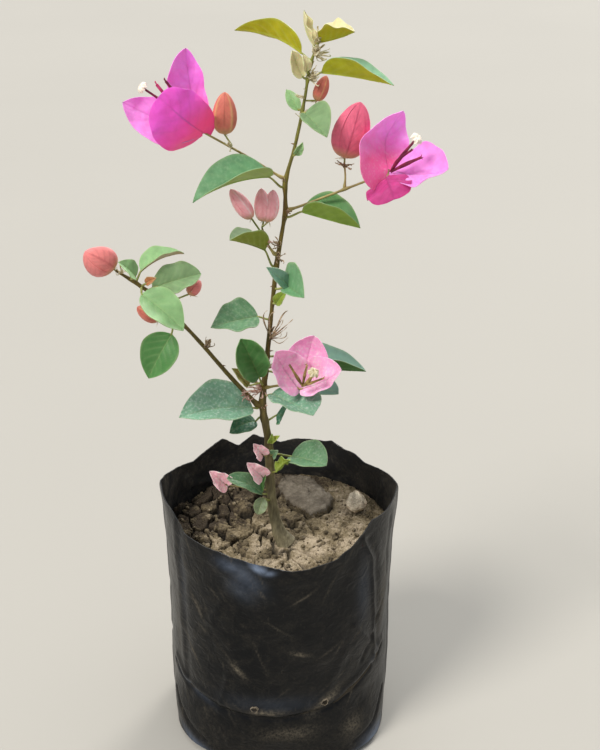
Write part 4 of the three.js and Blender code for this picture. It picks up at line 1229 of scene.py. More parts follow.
def tissue_material(kind, tint_name):
    """Leaf, bract or bud tissue: patchy colour, paler or darker veins and a fine network of cells."""
    tissue = TISSUES[kind]
    colours = getattr(bpy.context.scene, f"bougainvillea_{kind}_colours")
    tint = getattr(colours, tint_name)
    vein_tint, foot = vein_and_foot(kind, tint_name, tint, colours)
    made, tree, shader, places = start_material(tissue["label"] + tint_name)
    tint = np.array(tint)
    dark = tuple(tint[:3] * 0.9) + (1.0,)
    light = tuple(np.minimum(tint[:3] * 1.12 + 0.006, 1)) + (1.0,)
    patches = {"Scale": 1 / (tissue["patch"] * MM), "Detail": 5, "Roughness": 0.6}
    clouds = add_node(tree, "TexNoise", patches, {"Vector": places})
    body = add_node(tree, "ValToRGB", links={0: clouds}, stops=[(0.36, dark), (0.64, light)])
    mark = add_node(tree, "Attribute", attribute_name="mark", output="Fac")
    weight = add_node(tree, "Math", {1: tissue["veins"]}, {0: mark}, operation="MULTIPLY")
    whole = add_node(tree, "Mix", {7: vein_tint}, {0: weight, 6: body}, data_type="RGBA", output=2)
    if foot is not None:
        share = add_node(tree, "Attribute", attribute_name="share", output="Fac")
        spread = tissue["foot_share"]
        reach = add_node(tree, "ValToRGB", links={0: share}, stops=[(0.3 * spread, GREY[1]), (spread, GREY[0])])
        pale = add_node(tree, "Math", {1: 0.75}, {0: reach}, operation="MULTIPLY")
        whole = add_node(tree, "Mix", {7: foot}, {0: pale, 6: whole}, data_type="RGBA", output=2)
    if tint_name in SPECKS:
        scatter = add_node(tree, "TexNoise", {"Scale": 1 / (SPECK_SPACING * MM), "Detail": 5}, {"Vector": places})
        flecks = add_node(tree, "MapRange", {1: 0.5, 2: 0.72, 3: 0.0, 4: SPECKS[tint_name]}, {0: scatter})
        pale = {7: linear(SPECK_TINT)}
        whole = add_node(tree, "Mix", pale, {0: flecks, 6: whole}, data_type="RGBA", output=2)
    cell = {"Scale": 1 / (tissue["cell"] * MM)}
    cells = add_node(tree, "TexVoronoi", cell, {"Vector": places}, feature="DISTANCE_TO_EDGE", output="Distance")
    grain = add_node(tree, "TexNoise", {"Scale": 1 / (0.5 * tissue["cell"] * MM), "Detail": 3}, {"Vector": places})
    relief = add_node(tree, "Math", {2: 0.35}, {0: grain, 1: cells}, operation="MULTIPLY_ADD")
    dress(tree, shader, whole, relief, tissue["relief"], 0.25)
    least, most = tissue["roughness"] - 0.08, tissue["roughness"] + 0.1
    tree.links.new(add_node(tree, "MapRange", {3: least, 4: most}, {0: clouds}), shader.inputs["Roughness"])
    shader.inputs["IOR"].default_value = 1.45
    shader.inputs["Specular IOR Level"].default_value = 0.35
    shader.inputs["Sheen Weight"].default_value = tissue["sheen"]
    shader.inputs["Subsurface Weight"].default_value = tissue["glow"]
    shader.inputs["Subsurface Radius"].default_value = (1.0, 0.6, 0.8)
    shader.inputs["Subsurface Scale"].default_value = 1.2 * MM
    return made


def polythene_material(name, film, dust_share):
    """Blown polythene film, carbon black: satin, finely crinkled, with dried soil smeared on it and a painted
    bluish sheen.
    """
    colours = bpy.context.scene.bougainvillea_bag
    made, tree, shader, places = start_material(name)
    # Dust lies in drifts about 11 mm across
    drift = {"Scale": 1 / (11 * MM), "Detail": 8, "Roughness": 0.7, "Distortion": 0.7}
    clouds = add_node(tree, "TexNoise", drift, {"Vector": places})
    haze = add_node(tree, "ValToRGB", links={0: clouds}, stops=[(0.46, GREY[0]), (0.76, GREY[1])])
    # Hair scuffs a tenth of a millimetre wide would not show, so they are drawn from grain of 1.5 mm, drawn out
    lean = add_node(tree, "Mapping", {"Scale": (1.0, 1.0, 0.16), "Rotation": (0.4, -0.6, 0.3)}, {"Vector": places})
    hairs = add_node(tree, "TexNoise", {"Scale": 1 / (1.5 * MM), "Detail": 2}, {"Vector": lean})
    lines = add_node(tree, "ValToRGB", links={0: hairs}, stops=[(0.68, GREY[0]), (0.74, GREY[1])])
    # A little more splashed soil in the lowest 40 mm
    height = add_node(tree, "SeparateXYZ", links={0: places}, output="Z")
    foot = add_node(tree, "MapRange", {1: 0.0, 2: 40 * MM, 3: 0.05, 4: 0.0}, {0: height})
    amount = add_node(tree, "Math", {1: dust_share}, {0: haze, 2: foot}, operation="MULTIPLY_ADD")
    amount = add_node(tree, "Math", {1: 0.09}, {0: lines, 2: amount}, operation="MULTIPLY_ADD")
    # Soil grains are finer than the render shows, so they are drawn about 1.7 mm apart
    grains = {"Scale": 1 / (1.7 * MM), "Detail": 5, "Roughness": 0.75}
    speckle = add_node(tree, "TexNoise", grains, {"Vector": places})
    grit = add_node(tree, "MapRange", {1: 0.38, 2: 0.62, 3: 0.1, 4: 1.1}, {0: speckle})
    dealt = add_node(tree, "Attribute", attribute_name="share", output="Fac")
    whole = add_node(tree, "Math", {1: 0.75}, {0: dealt, 2: amount}, operation="MULTIPLY_ADD")
    broken = add_node(tree, "Math", {}, {0: whole, 1: grit}, operation="MULTIPLY")
    limited = add_node(tree, "Math", {1: 0.85}, {0: broken}, operation="MINIMUM")
    # Painted sheen: where the mark is high, the film is mixed towards the bluish sheen tint, which stands for
    # reflected light
    stretch = add_node(tree, "Attribute", attribute_name="mark", output="Fac")
    soft = add_node(tree, "MapRange", {1: 0.3, 2: 0.65, 3: 0.45, 4: 1.1}, {0: clouds})
    painted_sheen_amount = add_node(tree, "Math", {}, {0: stretch, 1: soft}, operation="MULTIPLY")
    tints = {6: tuple(getattr(colours, film)), 7: tuple(colours.bloom)}
    body = add_node(tree, "Mix", tints, {0: painted_sheen_amount}, data_type="RGBA", output=2)
    mixed = add_node(tree, "Mix", {7: tuple(colours.dust)}, {0: limited, 6: body}, data_type="RGBA", output=2)
    rough = add_node(tree, "MapRange", {1: 0.0, 2: 0.5, 3: 0.3, 4: 0.75}, {0: limited})
    tree.links.new(rough, shader.inputs["Roughness"])
    # The thin film crinkles every 6 mm or so
    folds = {"Scale": 1 / (6 * MM), "Detail": 4, "Roughness": 0.5, "Distortion": 0.8}
    crinkle = add_node(tree, "TexNoise", folds, {"Vector": places})
    dress(tree, shader, mixed, crinkle, 0.7, 0.9)
    shader.inputs["IOR"].default_value = 1.51
    shader.inputs["Specular IOR Level"].default_value = 0.18
    return made


def soil_material(name, tints, crumb, crack_shade_strength):
    """Earth or stone from its dark, middle and pale tint: matt and granular, with painted shade in its crevices.
    """
    made, tree, shader, places = start_material(name)
    # Damp and dry patches about 19 mm across
    broad = {"Scale": 1 / (19 * MM), "Detail": 6, "Roughness": 0.7}
    patches = add_node(tree, "TexNoise", broad, {"Vector": places})
    crumbs = {"Scale": 1 / (crumb * MM), "Detail": 4, "Roughness": 0.8}
    grains = add_node(tree, "TexNoise", crumbs, {"Vector": places})
    both = add_node(tree, "Math", {1: 0.5}, {0: grains, 2: patches}, operation="MULTIPLY_ADD")
    # The share is how dry the soil is, with painted shade towards the back
    dry = add_node(tree, "Attribute", attribute_name="share", output="Fac")
    dryness_and_shade = add_node(tree, "Math", {1: 0.65}, {0: dry, 2: both}, operation="MULTIPLY_ADD")
    stops = [(0.66, tints[0]), (0.99, tints[2]), (0.83, tints[1])]
    body = add_node(tree, "ValToRGB", links={0: dryness_and_shade}, stops=stops)
    # Painted shade: the colour is mixed towards the dark crack shade where the mark is high
    mark = add_node(tree, "Attribute", attribute_name="mark", output="Fac")
    depth = add_node(tree, "Math", {1: crack_shade_strength}, {0: mark}, operation="MULTIPLY")
    crevice = {7: tuple(bpy.context.scene.bougainvillea_soil.crevice)}
    shaded = add_node(tree, "Mix", crevice, {0: depth, 6: body}, data_type="RGBA", output=2)
    shader.inputs["Roughness"].default_value = 0.95
    shader.inputs["IOR"].default_value = 1.4
    specks = add_node(tree, "TexVoronoi", {"Scale": 1 / (0.9 * crumb * MM)}, {"Vector": places}, output="Distance")
    relief = add_node(tree, "Math", {1: 0.8}, {0: specks, 2: grains}, operation="MULTIPLY_ADD")
    dress(tree, shader, shaded, relief, 0.9, 0.7)
    return made


def bark_material(name, stops, grain):
    """Young woody bark: grey and corky at the foot, olive brown above and green where it is new."""
    made, tree, shader, places = start_material(name)
    height = add_node(tree, "SeparateXYZ", links={0: places}, output="Z")
    scaled = add_node(tree, "MapRange", {1: 150 * MM, 2: 460 * MM, 3: 0.0, 4: 1.0}, {0: height})
    drift = add_node(tree, "TexNoise", {"Scale": 1 / (9 * MM), "Detail": 4}, {"Vector": places})
    moved = add_node(tree, "Math", {1: 0.09}, {0: drift, 2: scaled}, operation="MULTIPLY_ADD")
    body = add_node(tree, "ValToRGB", links={0: moved}, stops=stops)
    # The fibres run along the stem, and are drawn seven times as long as they are wide
    fibre_places = add_node(tree, "Mapping", {"Scale": (1.0, 1.0, 0.14)}, {"Vector": places})
    fine = {"Scale": 1 / (grain * MM), "Detail": 5, "Roughness": 0.7}
    fibres = add_node(tree, "TexNoise", fine, {"Vector": fibre_places})
    stops = [(0.35, (0.62, 0.6, 0.55, 1)), (0.68, (1.25, 1.25, 1.2, 1))]
    streak = add_node(tree, "ValToRGB", links={0: fibres}, stops=stops)
    both = {6: body, 7: streak}
    streaked = add_node(tree, "Mix", {0: 0.75}, both, data_type="RGBA", blend_type="MULTIPLY", output=2)
    # Painted shade: the bark is darkened in its furrows
    mark = add_node(tree, "Attribute", attribute_name="mark", output="Fac")
    deep = add_node(tree, "Math", {1: 0.5}, {0: mark}, operation="MULTIPLY")
    shaded = add_node(tree, "Mix", {7: linear("#2c2414")}, {0: deep, 6: streaked}, data_type="RGBA", output=2)
    dress(tree, shader, shaded, fibres, 0.7, 0.3)
    shader.inputs["Roughness"].default_value = 0.68
    return made


def plain_tissue(name, dark, light, patch, roughness, relief):
    """Small dry or smooth tissue: two near colours in patches and a fine fibre."""
    made, tree, shader, places = start_material(name)
    clouds = add_node(tree, "TexNoise", {"Scale": 1 / (patch * MM), "Detail": 4}, {"Vector": places})
    body = add_node(tree, "ValToRGB", links={0: clouds}, stops=[(0.38, linear(dark)), (0.62, linear(light))])
    dress(tree, shader, body, clouds, relief, 0.2)
    shader.inputs["Roughness"].default_value = roughness
    return made


# Small dry or smooth parts: the material, its two colours, the size of its patches in millimetres, its roughness
# and the strength of its relief
PLAIN_FINISHES = {
    # Smooth and waxy, with a soft shine
    "green_stalk": ("waxy_green_stalk", "#7d8139", "#a0a45e", 5, 0.55, 0.3),
    # Turning to wood, so duller and patchy
    "brown_stalk": ("ripening_stalk", "#776535", "#a89a5e", 7, 0.6, 0.4),
    # Hard and worn smooth
    "thorn": ("hardened_thorn", "#5a3d1e", "#8a6a3a", 2, 0.5, 0.3),
    # Downy tubes of the true flowers, dark and soft
    "corolla_tube": ("downy_maroon_corolla", "#5e1830", "#8c2a48", 4, 0.6, 0.5),
    "corolla_pink": ("downy_pink_corolla", "#a82c5a", "#d6507e", 4, 0.6, 0.5),
    # Their open limb, thin and creamy
    "corolla_cream": ("thin_cream_corolla", "#ead9c4", "#fbf3e6", 1.5, 0.6, 0.3),
    # Withered parts: brittle, fibrous and quite matt
    "dried_tube": ("withered_corolla", "#74582e", "#b39658", 3, 0.75, 0.6),
    "husk_brown": ("withered_brown_husk", "#80694f", "#c0a88a", 2, 0.8, 0.6),
    "husk_pink": ("withered_pink_husk", "#a8786a", "#dcc0b0", 2, 0.8, 0.6),
    "husk_pale": ("withered_pale_husk", "#b3a47a", "#e2d9ba", 2, 0.8, 0.5),
}
# Earth and stone: the material, its dark, middle and pale colour, its crumbs in millimetres, which are drawn
# coarser than silt so that they show, and how much painted shade darkens its crevices
EARTH_FINISHES = {
    # Puddled by watering and dried: greyer and smoother than the loam round it
    "clay": ("puddled_clay", "#5e5548", "#7b7162", "#958b7b", 2.4, 0.9),
    # Worn sandstone: pale and granular
    "pebble": ("worn_sandstone", "#a08a72", "#cbb496", "#e8d8bc", 1.1, 0.5),
    # Loam packed behind the film, dry where it has washed out, and inside the hole loam painted nearly black as
    # shade
    "hole_soil": ("packed_loam", "#544c40", "#766b5b", "#968a78", 1.2, 0.4),
    "hole_dark": ("damp_loam", "#14110c", "#2a2318", "#4a3f2e", 1.2, 0.4),
}


def stem_bark():
    settings = bpy.context.scene.bougainvillea_bark
    stops = [
        (0.02, tuple(settings.foot)), (0.98, tuple(settings.tip)), (0.16, tuple(settings.low)),
        (0.4, tuple(settings.middle)), (0.72, tuple(settings.high)),
    ]
    return bark_material("corky_young_bark", stops, 1.0)


def loam():
    """Garden loam that has dried and cracked: matt and crumbly."""
    colours = bpy.context.scene.bougainvillea_soil
    tints = tuple(colours.dark), tuple(colours.middle), tuple(colours.pale)
    return soil_material("dried_loam", tints, 1.6, 0.85)


OWN_FINISHES = {
    "young_bark": stem_bark,
    "loam": loam,
    "polythene_outside": lambda: polythene_material("blown_polythene_outside", "film", 0.1),
    "polythene_inside": lambda: polythene_material("blown_polythene_lining", "lining", 0.4),
}


def new_finish(name):
    """Makes the material of a finish."""
    if name in OWN_FINISHES:
        return OWN_FINISHES[name]()
    if name in PLAIN_FINISHES:
        return plain_tissue(*PLAIN_FINISHES[name])
    if name in EARTH_FINISHES:
        label, dark, middle, pale, crumb, crevices = EARTH_FINISHES[name]
        return soil_material(label, (linear(dark), linear(middle), linear(pale)), crumb, crevices)
    return tissue_material(*name.split("_", 1))


def finish_named(name):
    """The material of a finish, made the first time it is asked for."""
    made = next((made for made in bpy.data.materials if made.get("finish") == name), None)
    if made is None:
        made = new_finish(name)
        made["finish"] = name
    return made


# Settings


def colour(name, description, code):
    return bpy.props.FloatVectorProperty(
        name=name, description=description, subtype="COLOR", size=4, min=0, max=1, default=linear(code),
    )


def length(name, description, millimetres, low=0.0):
    return bpy.props.FloatProperty(
        name=name, description=description, default=millimetres * MM, min=low * MM, unit="LENGTH",
    )


def count(name, description, default, low):
    return bpy.props.IntProperty(name=name, description=description, default=default, min=low)


def number(name, description, default, low):
    return bpy.props.FloatProperty(name=name, description=description, default=default, min=low)


class BagSettings(bpy.types.PropertyGroup):
    """The polythene bag"""

    wall: length("Film", "Drawn thickness of the film", 0.7, 0.2)
    around: count("Around", "Points round the bag", 400, 48)
    up: count("Up", "Points up the outside", 170, 12)
    inside: count("Inside", "Points down the inside", 34, 6)
    film: colour("Film", "Carbon black film", "#08090b")
    dust: colour("Dust", "Dried soil on the film", "#857b69")
    lining: colour("Lining", "Duller inside of the film", "#2a2a2a")
    # The bloom tint is painted light: the bluish reflection and highlights on the film
    bloom: colour("Bloom", "Milky bloom on stretched film", "#8796ae")


class SoilSettings(bpy.types.PropertyGroup):
    """The soil's surface"""

    clod: number("Clod", "Spacing of the clods in mm", 12.5, 3)
    crack: number("Crack", "Width of the cracks in mm", 1.0, 0.2)
    crack_depth: number("Crack depth", "Depth of the cracks in mm", 5.5, 0)
    columns: count("Columns", "Points across the soil", 290, 20)
    rows: count("Rows", "Points from front to back", 240, 20)
    crumbs: count("Crumbs", "Loose crumbs on the soil", 560, 0)
    dark: colour("Dark", "Damp loam", "#3b3124")
    middle: colour("Middle", "Dry loam", "#77694f")
    pale: colour("Pale", "Sandy loam", "#a89880")
    # The crack shade is painted shade, put into the cracks, hollows and dips
    crevice: colour("Crevice", "Loam in the cracks", "#0b0906")


class BarkSettings(bpy.types.PropertyGroup):
    """The stem's bark"""

    relief: length("Relief", "Depth of the bark's ridges", 0.3)
    foot: colour("Foot", "Corky bark at the soil", "#8e856c")
    low: colour("Low", "Grey-green bark above it", "#7c7350")
    middle: colour("Middle", "Olive brown bark", "#685818")
    high: colour("High", "Reddish young bark", "#73611b")
    tip: colour("Tip", "Green new growth", "#93973f")


class LeafSettings(bpy.types.PropertyGroup):
    """The leaves' shape"""

    rows: count("Rows", "Points along a leaf", 46, 8)
    columns: count("Columns", "Points across a leaf, odd", 25, 5)
    veins: count("Veins", "Pairs of side veins", 6, 1)
    thickness: length("Thickness", "Drawn thickness of a leaf", 0.38, 0.1)
    vein_depth: length("Vein depth", "How far the veins sink", 0.32)
    ripple: length("Ripple", "How far the margin ripples", 1.3)
    stalk_radius: length("Stalk", "Half the stalk's thickness", 0.6, 0.1)


class LeafColours(bpy.types.PropertyGroup):
    """The leaves' colours"""

    teal: colour("Teal", "Upper side of a grown leaf", "#567e58")
    pale_teal: colour("Pale teal", "Upper side in full light", "#789c8a")
    soft_teal: colour("Soft teal", "Upper side of a young grown leaf", "#6b9c6e")
    mint: colour("Mint", "Upper side of a top leaf", "#8ab390")
    gold: colour("Gold", "Underside of a top leaf in the light", "#b0ba1e")
    dusty_teal: colour("Dusty teal", "Grown leaf with dust on it", "#6d997d")
    dark_teal: colour("Dark teal", "Grown leaf in shade", "#356b4d")
    green: colour("Green", "Plain leaf green", "#497c3f")
    fresh: colour("Fresh green", "Young leaf", "#789668")
    pale_green: colour("Pale green", "Soft new leaf", "#85ad74")
    lime: colour("Lime", "Yellow-green young leaf", "#98a434")
    yellow_green: colour("Yellow-green", "Backlit young leaf", "#81952e")
    olive: colour("Olive", "Underside of a top leaf", "#a8a80a")
    olive_green: colour("Olive green", "Underside of a young leaf", "#7c892b")
    moss: colour("Moss", "Underside of a grown leaf", "#7a9a2e")
    deep: colour("Deep green", "Shaded underside", "#346729")
    shade: colour("Shade green", "Leaf in deep shade", "#326424")
    dull: colour("Dull green", "Dusty low leaf", "#6e7b59")
    cream: colour("Cream", "Unfolding tip leaf", "#d8d0a0")
    brownish: colour("Brownish", "Ageing underside", "#9a8d5c")
    rust: colour("Rust", "Reddish axil leaf", "#ab6c44")
    olive_brown: colour("Olive brown", "Ageing small leaf", "#7a702d")


class BractSettings(bpy.types.PropertyGroup):
    """The bracts' shape"""

    rows: count("Rows", "Points along a bract", 64, 8)
    columns: count("Columns", "Points across a bract, odd", 45, 5)
    thickness: length("Thickness", "Drawn thickness of a bract", 0.3, 0.1)
    vein_depth: length("Vein depth", "How far the veins sink", 0.3)
    ripple: length("Ripple", "How far the margin ripples", 1.8)
    crumple: length("Crumple", "How uneven the paper is", 0.9)


class BractColours(bpy.types.PropertyGroup):
    """The bracts' colours"""

    magenta: colour("Magenta", "Full bract", "#fd8be2")
    pink_magenta: colour("Pink magenta", "Full bract in the light", "#ff9ee7")
    orchid: colour("Orchid", "Inner side in full light", "#e78fd5")
    deep_rose: colour("Deep rose", "Outer side", "#b5377c")
    glowing: colour("Glowing", "Outer side with the light behind it", "#f863cf")
    faded: colour("Faded pink", "Ageing bract", "#f0aacb")
    dusty: colour("Dusty pink", "Small dried bract", "#f0b9bd")
    foot: colour("Foot", "The redder foot of a bract", "#ff4a7c")


class BudColours(bpy.types.PropertyGroup):
    """The buds' colours"""

    salmon: colour("Salmon", "Young bud", "#cc6f5f")
    rose: colour("Rose", "Nearly open bud", "#ea6a86")
    coral: colour("Coral", "Small bud", "#e88480")
    pink: colour("Pink", "Pink bud", "#ffa6ac")
    foot: colour("Foot", "The bud's browner foot", "#c4966a")


class StudioSettings(bpy.types.PropertyGroup):
    """The camera, the floor and the lights"""

    lens: number("Lens", "Focal length in mm", 52.8, 10)
    pitch: bpy.props.FloatProperty(
        name="Pitch", description="How far the camera looks down", default=math.radians(27.9), subtype="ANGLE",
    )
    place: bpy.props.FloatVectorProperty(
        name="Place", description="Where the camera is", default=(0.0134, -0.577, 0.564), subtype="TRANSLATION",
    )
    floor: colour("Floor", "Pale studio floor", "#aaa69d")
    sky: colour("Sky", "Soft light from all round", "#e8edf5")


# Pieces


SENSOR_WIDTH = 36
NEAREST, FARTHEST = 0.01, 20
FLOOR_HALF = 8
FLOOR_CLOUDS_PER_METRE = 1.2
SKY_STRENGTH = 0.5
# What the lights aim at: the middle of the plant, in metres
LIGHT_AIM = (0, 0, 0.22)
# Each light's name, place in metres, spread in degrees, strength and tint
LIGHTS = [
    ("key", (-1.1, -0.9, 1.9), 20, 2.7, (1.0, 0.975, 0.94)),
    ("overhead", (0.2, 0.3, 2.2), 60, 1.3, (0.96, 0.98, 1.0)),
    ("back", (0.9, 1.4, 1.2), 20, 1.9, (1.0, 0.98, 0.95)),
]
# The bark meshes: points round and along the stem, the bough and a stalk
STEM_MESH, BOUGH_MESH, STALK_MESH = (48, 420), (26, 180), (14, 60)
BOUGH_RELIEF, STALK_RELIEF = 0.7, 0.35
# Where thorns grow, as a share of a limb's length, and how far apart on each limb
THORNS_FROM, THORNS_TO = 0.3, 0.93
THORN_STEPS = {"stem": 0.13, "bough_left": 0.3}
# Crumbs keep off the soil's rim and off the slab
CRUMB_REACH, CRUMB_SLAB = 0.93, 0.05
# The uneven pebble is drawn a little larger than its solid, to fill it once it is worn hollow
PEBBLE_STRETCH = np.array([1.16, 1.3, 1.2])
# How much of the step to a twin bud its base and its tip take
TWIN_BASE, TWIN_TIP = 0.5, 1.2


class BuildCamera(bpy.types.Operator):
    """Place the camera at the photograph's angle"""

    bl_idname = "bougainvillea.camera"
    bl_label = "Camera"

    def execute(self, context):
        settings = context.scene.bougainvillea_studio
        camera = new_object("camera", bpy.data.cameras.new("camera"))
        camera.data.sensor_width = SENSOR_WIDTH
        camera.data.lens = settings.lens
        camera.data.clip_start, camera.data.clip_end = NEAREST, FARTHEST
        camera.location = settings.place
        camera.rotation_euler = (math.pi / 2 - settings.pitch, 0, 0)
        context.scene.camera = camera
        return {"FINISHED"}


class BuildBag(bpy.types.Operator):
    """Make the creased polythene bag with its drain holes"""

    bl_idname = "bougainvillea.bag"
    bl_label = "Bag"

    def execute(self, context):
        rng = np.random.default_rng(SEED)
        batch = Batch()
        film = add_film(batch, context.scene.bougainvillea_bag, rng)
        finish_piece("bag_film", batch, ["bag"], sharp=60)
        holes = Batch()
        for azimuth, height in HOLES:
            add_drain_hole(holes, azimuth, height, film)
        finish_piece("bag_drain_holes", holes, sharp=60)
        return {"FINISHED"}


class BuildSoil(bpy.types.Operator):
    """Make the cracked soil, its loose crumbs and the pebble"""

    bl_idname = "bougainvillea.soil"
    bl_label = "Soil and pebble"

    def execute(self, context):
        settings = context.scene.bougainvillea_soil
        rng = np.random.default_rng(SEED + 1)
        batch = Batch()
        x, y, height, slab = add_soil(batch, settings, rng)
        finish_piece("soil_surface", batch, ["soil"], sharp=180)
        crumbs = Batch()
        flat_x, flat_y, flat_z = x.ravel(), y.ravel(), height.ravel()
        for _ in range(settings.crumbs):
            chosen = rng.integers(len(flat_x))
            reach = math.hypot(flat_x[chosen] / BAG_HALF_WIDTH, flat_y[chosen] / BAG_HALF_DEPTH)
            if reach > CRUMB_REACH or slab.ravel()[chosen] > CRUMB_SLAB:
                continue
            size = rng.gamma(2.2, 0.3) + 0.3
            centre = np.array([flat_x[chosen], flat_y[chosen], flat_z[chosen] + 0.25 * size * MM])
            add_stone(crumbs, centre, size * rng.uniform(0.7, 1.2, 3), "loam", rng, detail=1, roughness=0.45)
        finish_piece("soil_crumbs", crumbs, sharp=70)
        stone = Batch()
        low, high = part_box("pebble")
        centre = (np.array(low) + np.array(high)) / 2
        size = (np.array(high) - np.array(low)) / (2 * MM)
        add_stone(stone, centre, size * PEBBLE_STRETCH, "pebble", rng, detail=5, roughness=0.3)
        finish_piece("pebble_stone", stone, ["pebble"], sharp=180)
        return {"FINISHED"}


class BuildBark(bpy.types.Operator):
    """Make the stem, the bough and the thin flower stalks with their bark"""

    bl_idname = "bougainvillea.bark"
    bl_label = "Stem, bough and stalks"

    def execute(self, context):
        settings = context.scene.bougainvillea_bark
        rng = np.random.default_rng(SEED + 2)
        feet = [read_blade("leaf_" + name).foot for name in LEAF_LOOKS]
        feet += [limb.path[0] for name, limb in LIMBS.items() if name != "stem"]
        batch = Batch()
        add_bark(batch, LIMBS["stem"], "young_bark", STEM_MESH, settings.relief, True, feet, STEM_SLIM)
        finish_piece("stem_bark", batch, ["stem"], sharp=180)
        batch = Batch()
        bough = rooted(LIMBS["bough_left"])
        add_bark(batch, bough, "young_bark", BOUGH_MESH, settings.relief * BOUGH_RELIEF, feet=feet)
        finish_piece("bough_bark", batch, ["bough_left"], sharp=180)
        stalks = Batch()
        names = [name for name in CARRIERS if name.startswith("stalk")]
        for name in names:
            stalk = rooted(LIMBS[name])
            add_bark(stalks, stalk, "brown_stalk", STALK_MESH, settings.relief * STALK_RELIEF, feet=feet)
        finish_piece("flower_stalks", stalks, names, sharp=180)
        thorns = Batch()
        for name, step in THORN_STEPS.items():
            limb = LIMBS[name]
            for share in np.arange(THORNS_FROM, THORNS_TO, step):
                centre, following = limb.at(share), limb.at(share + 0.01)
                turn = rng.uniform(0, 2 * math.pi)
                way = unit(np.array([math.cos(turn), math.sin(turn), 0.45]))
                way = unit(way - unit(following - centre) * 0.2)
                root = centre + way * limb.radius(share) * 0.45
                add_thorn(thorns, root, way, rng.uniform(1.6, 3.0) * MM)
        finish_piece("thorns", thorns, sharp=180)
        return {"FINISHED"}


def rooted(limb):
    """The limb drawn back to its carrier's centreline, so that its foot sinks in."""
    others = [other for other in LIMBS.values() if other is not limb]
    places = np.concatenate([other.at(np.linspace(0, 1, 400)) for other in others])
    start = places[np.argmin(np.linalg.norm(places - limb.path[0], axis=1))]
    return Limb(np.vstack([start, limb.path]), np.concatenate([limb.radii[:1] * 1.25, limb.radii]))


class BuildFoliage(bpy.types.Operator):
    """Make the leaves of each part of the plant, with their stalks and the young leaves in the axils"""

    bl_idname = "bougainvillea.foliage"
    bl_label = "Leaves"

    def execute(self, context):
        sizes = context.scene.bougainvillea_leaf
        for group, members in LEAF_GROUPS.items():
            batch = Batch()
            nodes = ["leaf_" + name for name in members]
            for name, node in zip(members, nodes):
                add_leaf(batch, read_blade(node), LEAF_LOOKS[name], sizes)
            for piece, limb, where, stalk, reach, width, face, upper, lower in YOUNG_LEAVES:
                if piece == group:
                    blade = planned_blade(limb, where, stalk, reach, width, face)
                    add_leaf(batch, blade, look(upper, lower), sizes)
            finish_piece(group, batch, nodes)
        return {"FINISHED"}


class BuildFlowers(bpy.types.Operator):
    """Make the three blooms and the small faded bracts, with the true flowers inside"""

    bl_idname = "bougainvillea.flowers"
    bl_label = "Flowers"

    def execute(self, context):
        sizes = context.scene.bougainvillea_bract
        rng = np.random.default_rng(SEED + 3)
        for group, members in BRACT_GROUPS.items():
            batch = Batch()
            nodes = ["bract_" + name for name in members]
            blades = [read_blade(node) for node in nodes]
            for name, blade in zip(members, blades):
                add_bract(batch, blade, BRACT_LOOKS[name], sizes)
            if group in TUBES:
                heart = np.mean([blade.foot for blade in blades], axis=0)
                add_tubes(batch, heart, TUBES[group], TUBE_STARTS[group], rng)
            finish_piece(group, batch, nodes)
        return {"FINISHED"}


class BuildBuds(bpy.types.Operator):
    """Make the closed buds on their stalks"""

    bl_idname = "bougainvillea.buds"
    bl_label = "Buds"

    def execute(self, context):
        rng = np.random.default_rng(SEED + 5)
        for group, nodes in BUD_GROUPS.items():
            batch = Batch()
            for node in nodes:
                add_bud(batch, Bud(node), BUD_LOOKS[node], rng)
                if node in TWIN_BUDS:
                    twin, step = Bud(node), np.array(TWIN_BUDS[node])
                    twin.base = twin.base + step * TWIN_BASE * MM
                    twin.tip = twin.tip + step * TWIN_TIP * MM
                    add_bud(batch, twin, BUD_LOOKS[node], rng)
            finish_piece(group, batch, nodes, sharp=70)
        return {"FINISHED"}


class BuildHusks(bpy.types.Operator):
    """Make the dried remains of older flowers in the axils"""

    bl_idname = "bougainvillea.husks"
    bl_label = "Dried remains"

    def execute(self, context):
        rng = np.random.default_rng(SEED + 4)
        batch = Batch()
        for limb, where, way, length, strips, finish in HUSKS:
            add_husk(batch, place_on(limb, where), way, length, strips, finish, rng)
        finish_piece("dried_remains", batch, sharp=60)
        return {"FINISHED"}


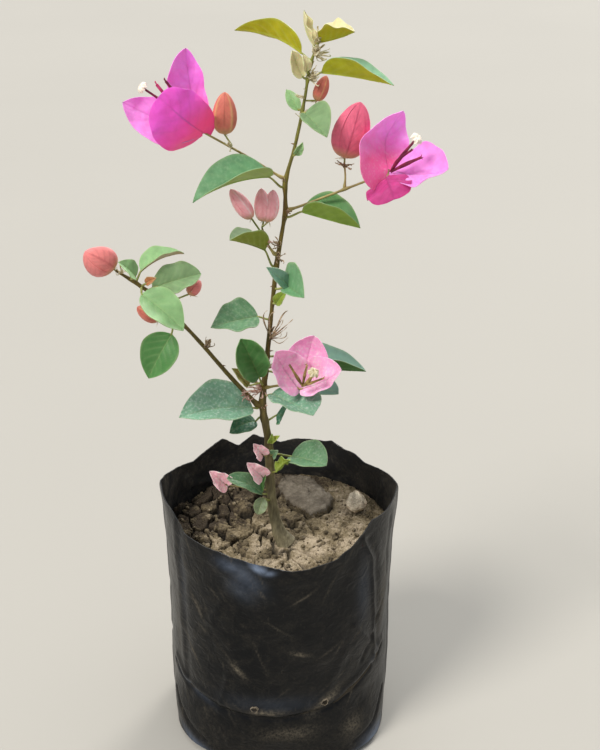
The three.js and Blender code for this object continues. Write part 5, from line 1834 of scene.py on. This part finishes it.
class BuildStudio(bpy.types.Operator):
    """Lay the pale floor and set the soft lights"""

    bl_idname = "bougainvillea.studio"
    bl_label = "Floor and lights"

    def execute(self, context):
        settings = context.scene.bougainvillea_studio
        mesh = bpy.data.meshes.new("floor")
        corners = [(x * FLOOR_HALF, y * FLOOR_HALF, 0) for x, y in ((-1, -1), (1, -1), (1, 1), (-1, 1))]
        mesh.from_pydata(corners, [], [(0, 1, 2, 3)])
        made, tree, shader, places = start_material("matt_paper_floor")
        grain = add_node(tree, "TexNoise", {"Scale": FLOOR_CLOUDS_PER_METRE, "Detail": 3}, {"Vector": places})
        pale = tuple(settings.floor)
        deeper = tuple(c * 0.96 for c in pale[:3]) + (1,)
        body = add_node(tree, "ValToRGB", links={0: grain}, stops=[(0.3, deeper), (0.7, pale)])
        tree.links.new(body, shader.inputs["Base Color"])
        shader.inputs["Roughness"].default_value = 0.9
        mesh.materials.append(made)
        floor = new_object("floor", mesh)
        world = bpy.data.worlds.new("studio")
        context.scene.world = world
        world.use_nodes = True
        background = world.node_tree.nodes["Background"]
        background.inputs["Color"].default_value = tuple(settings.sky)
        background.inputs["Strength"].default_value = SKY_STRENGTH
        for name, place, spread, power, tint in LIGHTS:
            lamp = bpy.data.lights.new(name, "SUN")
            lamp.angle = math.radians(spread)
            lamp.energy = power
            lamp.color = tint
            light = new_object(name, lamp)
            light.location = place
            light.rotation_euler = (Vector(LIGHT_AIM) - Vector(place)).to_track_quat("-Z", "Y").to_euler()
        context.scene.view_settings.view_transform = "Standard"
        return {"FINISHED"}


PIECE_OPERATORS = (
    BuildCamera, BuildBag, BuildSoil, BuildBark, BuildFoliage, BuildFlowers, BuildBuds, BuildHusks, BuildStudio,
)
SETTING_GROUPS = {
    "bougainvillea_bag": BagSettings,
    "bougainvillea_soil": SoilSettings,
    "bougainvillea_bark": BarkSettings,
    "bougainvillea_leaf": LeafSettings,
    "bougainvillea_leaf_colours": LeafColours,
    "bougainvillea_bract": BractSettings,
    "bougainvillea_bract_colours": BractColours,
    "bougainvillea_bud_colours": BudColours,
    "bougainvillea_studio": StudioSettings,
}


class BougainvilleaPanel(bpy.types.Panel):
    """Lists what builds each piece and the settings it reads"""

    bl_idname = "VIEW3D_PT_bougainvillea"
    bl_label = "Bougainvillea"
    bl_space_type = "VIEW_3D"
    bl_region_type = "UI"
    bl_category = "Bougainvillea"

    def draw(self, context):
        for operator in PIECE_OPERATORS:
            self.layout.operator(operator.bl_idname)
        for name, group in SETTING_GROUPS.items():
            box = self.layout.box()
            box.label(text=group.__doc__)
            for key in group.__annotations__:
                box.prop(getattr(context.scene, name), key)


def register():
    for group in SETTING_GROUPS.values():
        bpy.utils.register_class(group)
    for name, group in SETTING_GROUPS.items():
        setattr(bpy.types.Scene, name, bpy.props.PointerProperty(type=group))
    for operator in PIECE_OPERATORS:
        bpy.utils.register_class(operator)
    bpy.utils.register_class(BougainvilleaPanel)


def unregister():
    bpy.utils.unregister_class(BougainvilleaPanel)
    for operator in reversed(PIECE_OPERATORS):
        bpy.utils.unregister_class(operator)
    for name in SETTING_GROUPS:
        delattr(bpy.types.Scene, name)
    for group in SETTING_GROUPS.values():
        bpy.utils.unregister_class(group)


def main():
    register()
    for operator in PIECE_OPERATORS:
        group, name = operator.bl_idname.split(".")
        getattr(getattr(bpy.ops, group), name)()


if __name__ == "__main__":
    main()
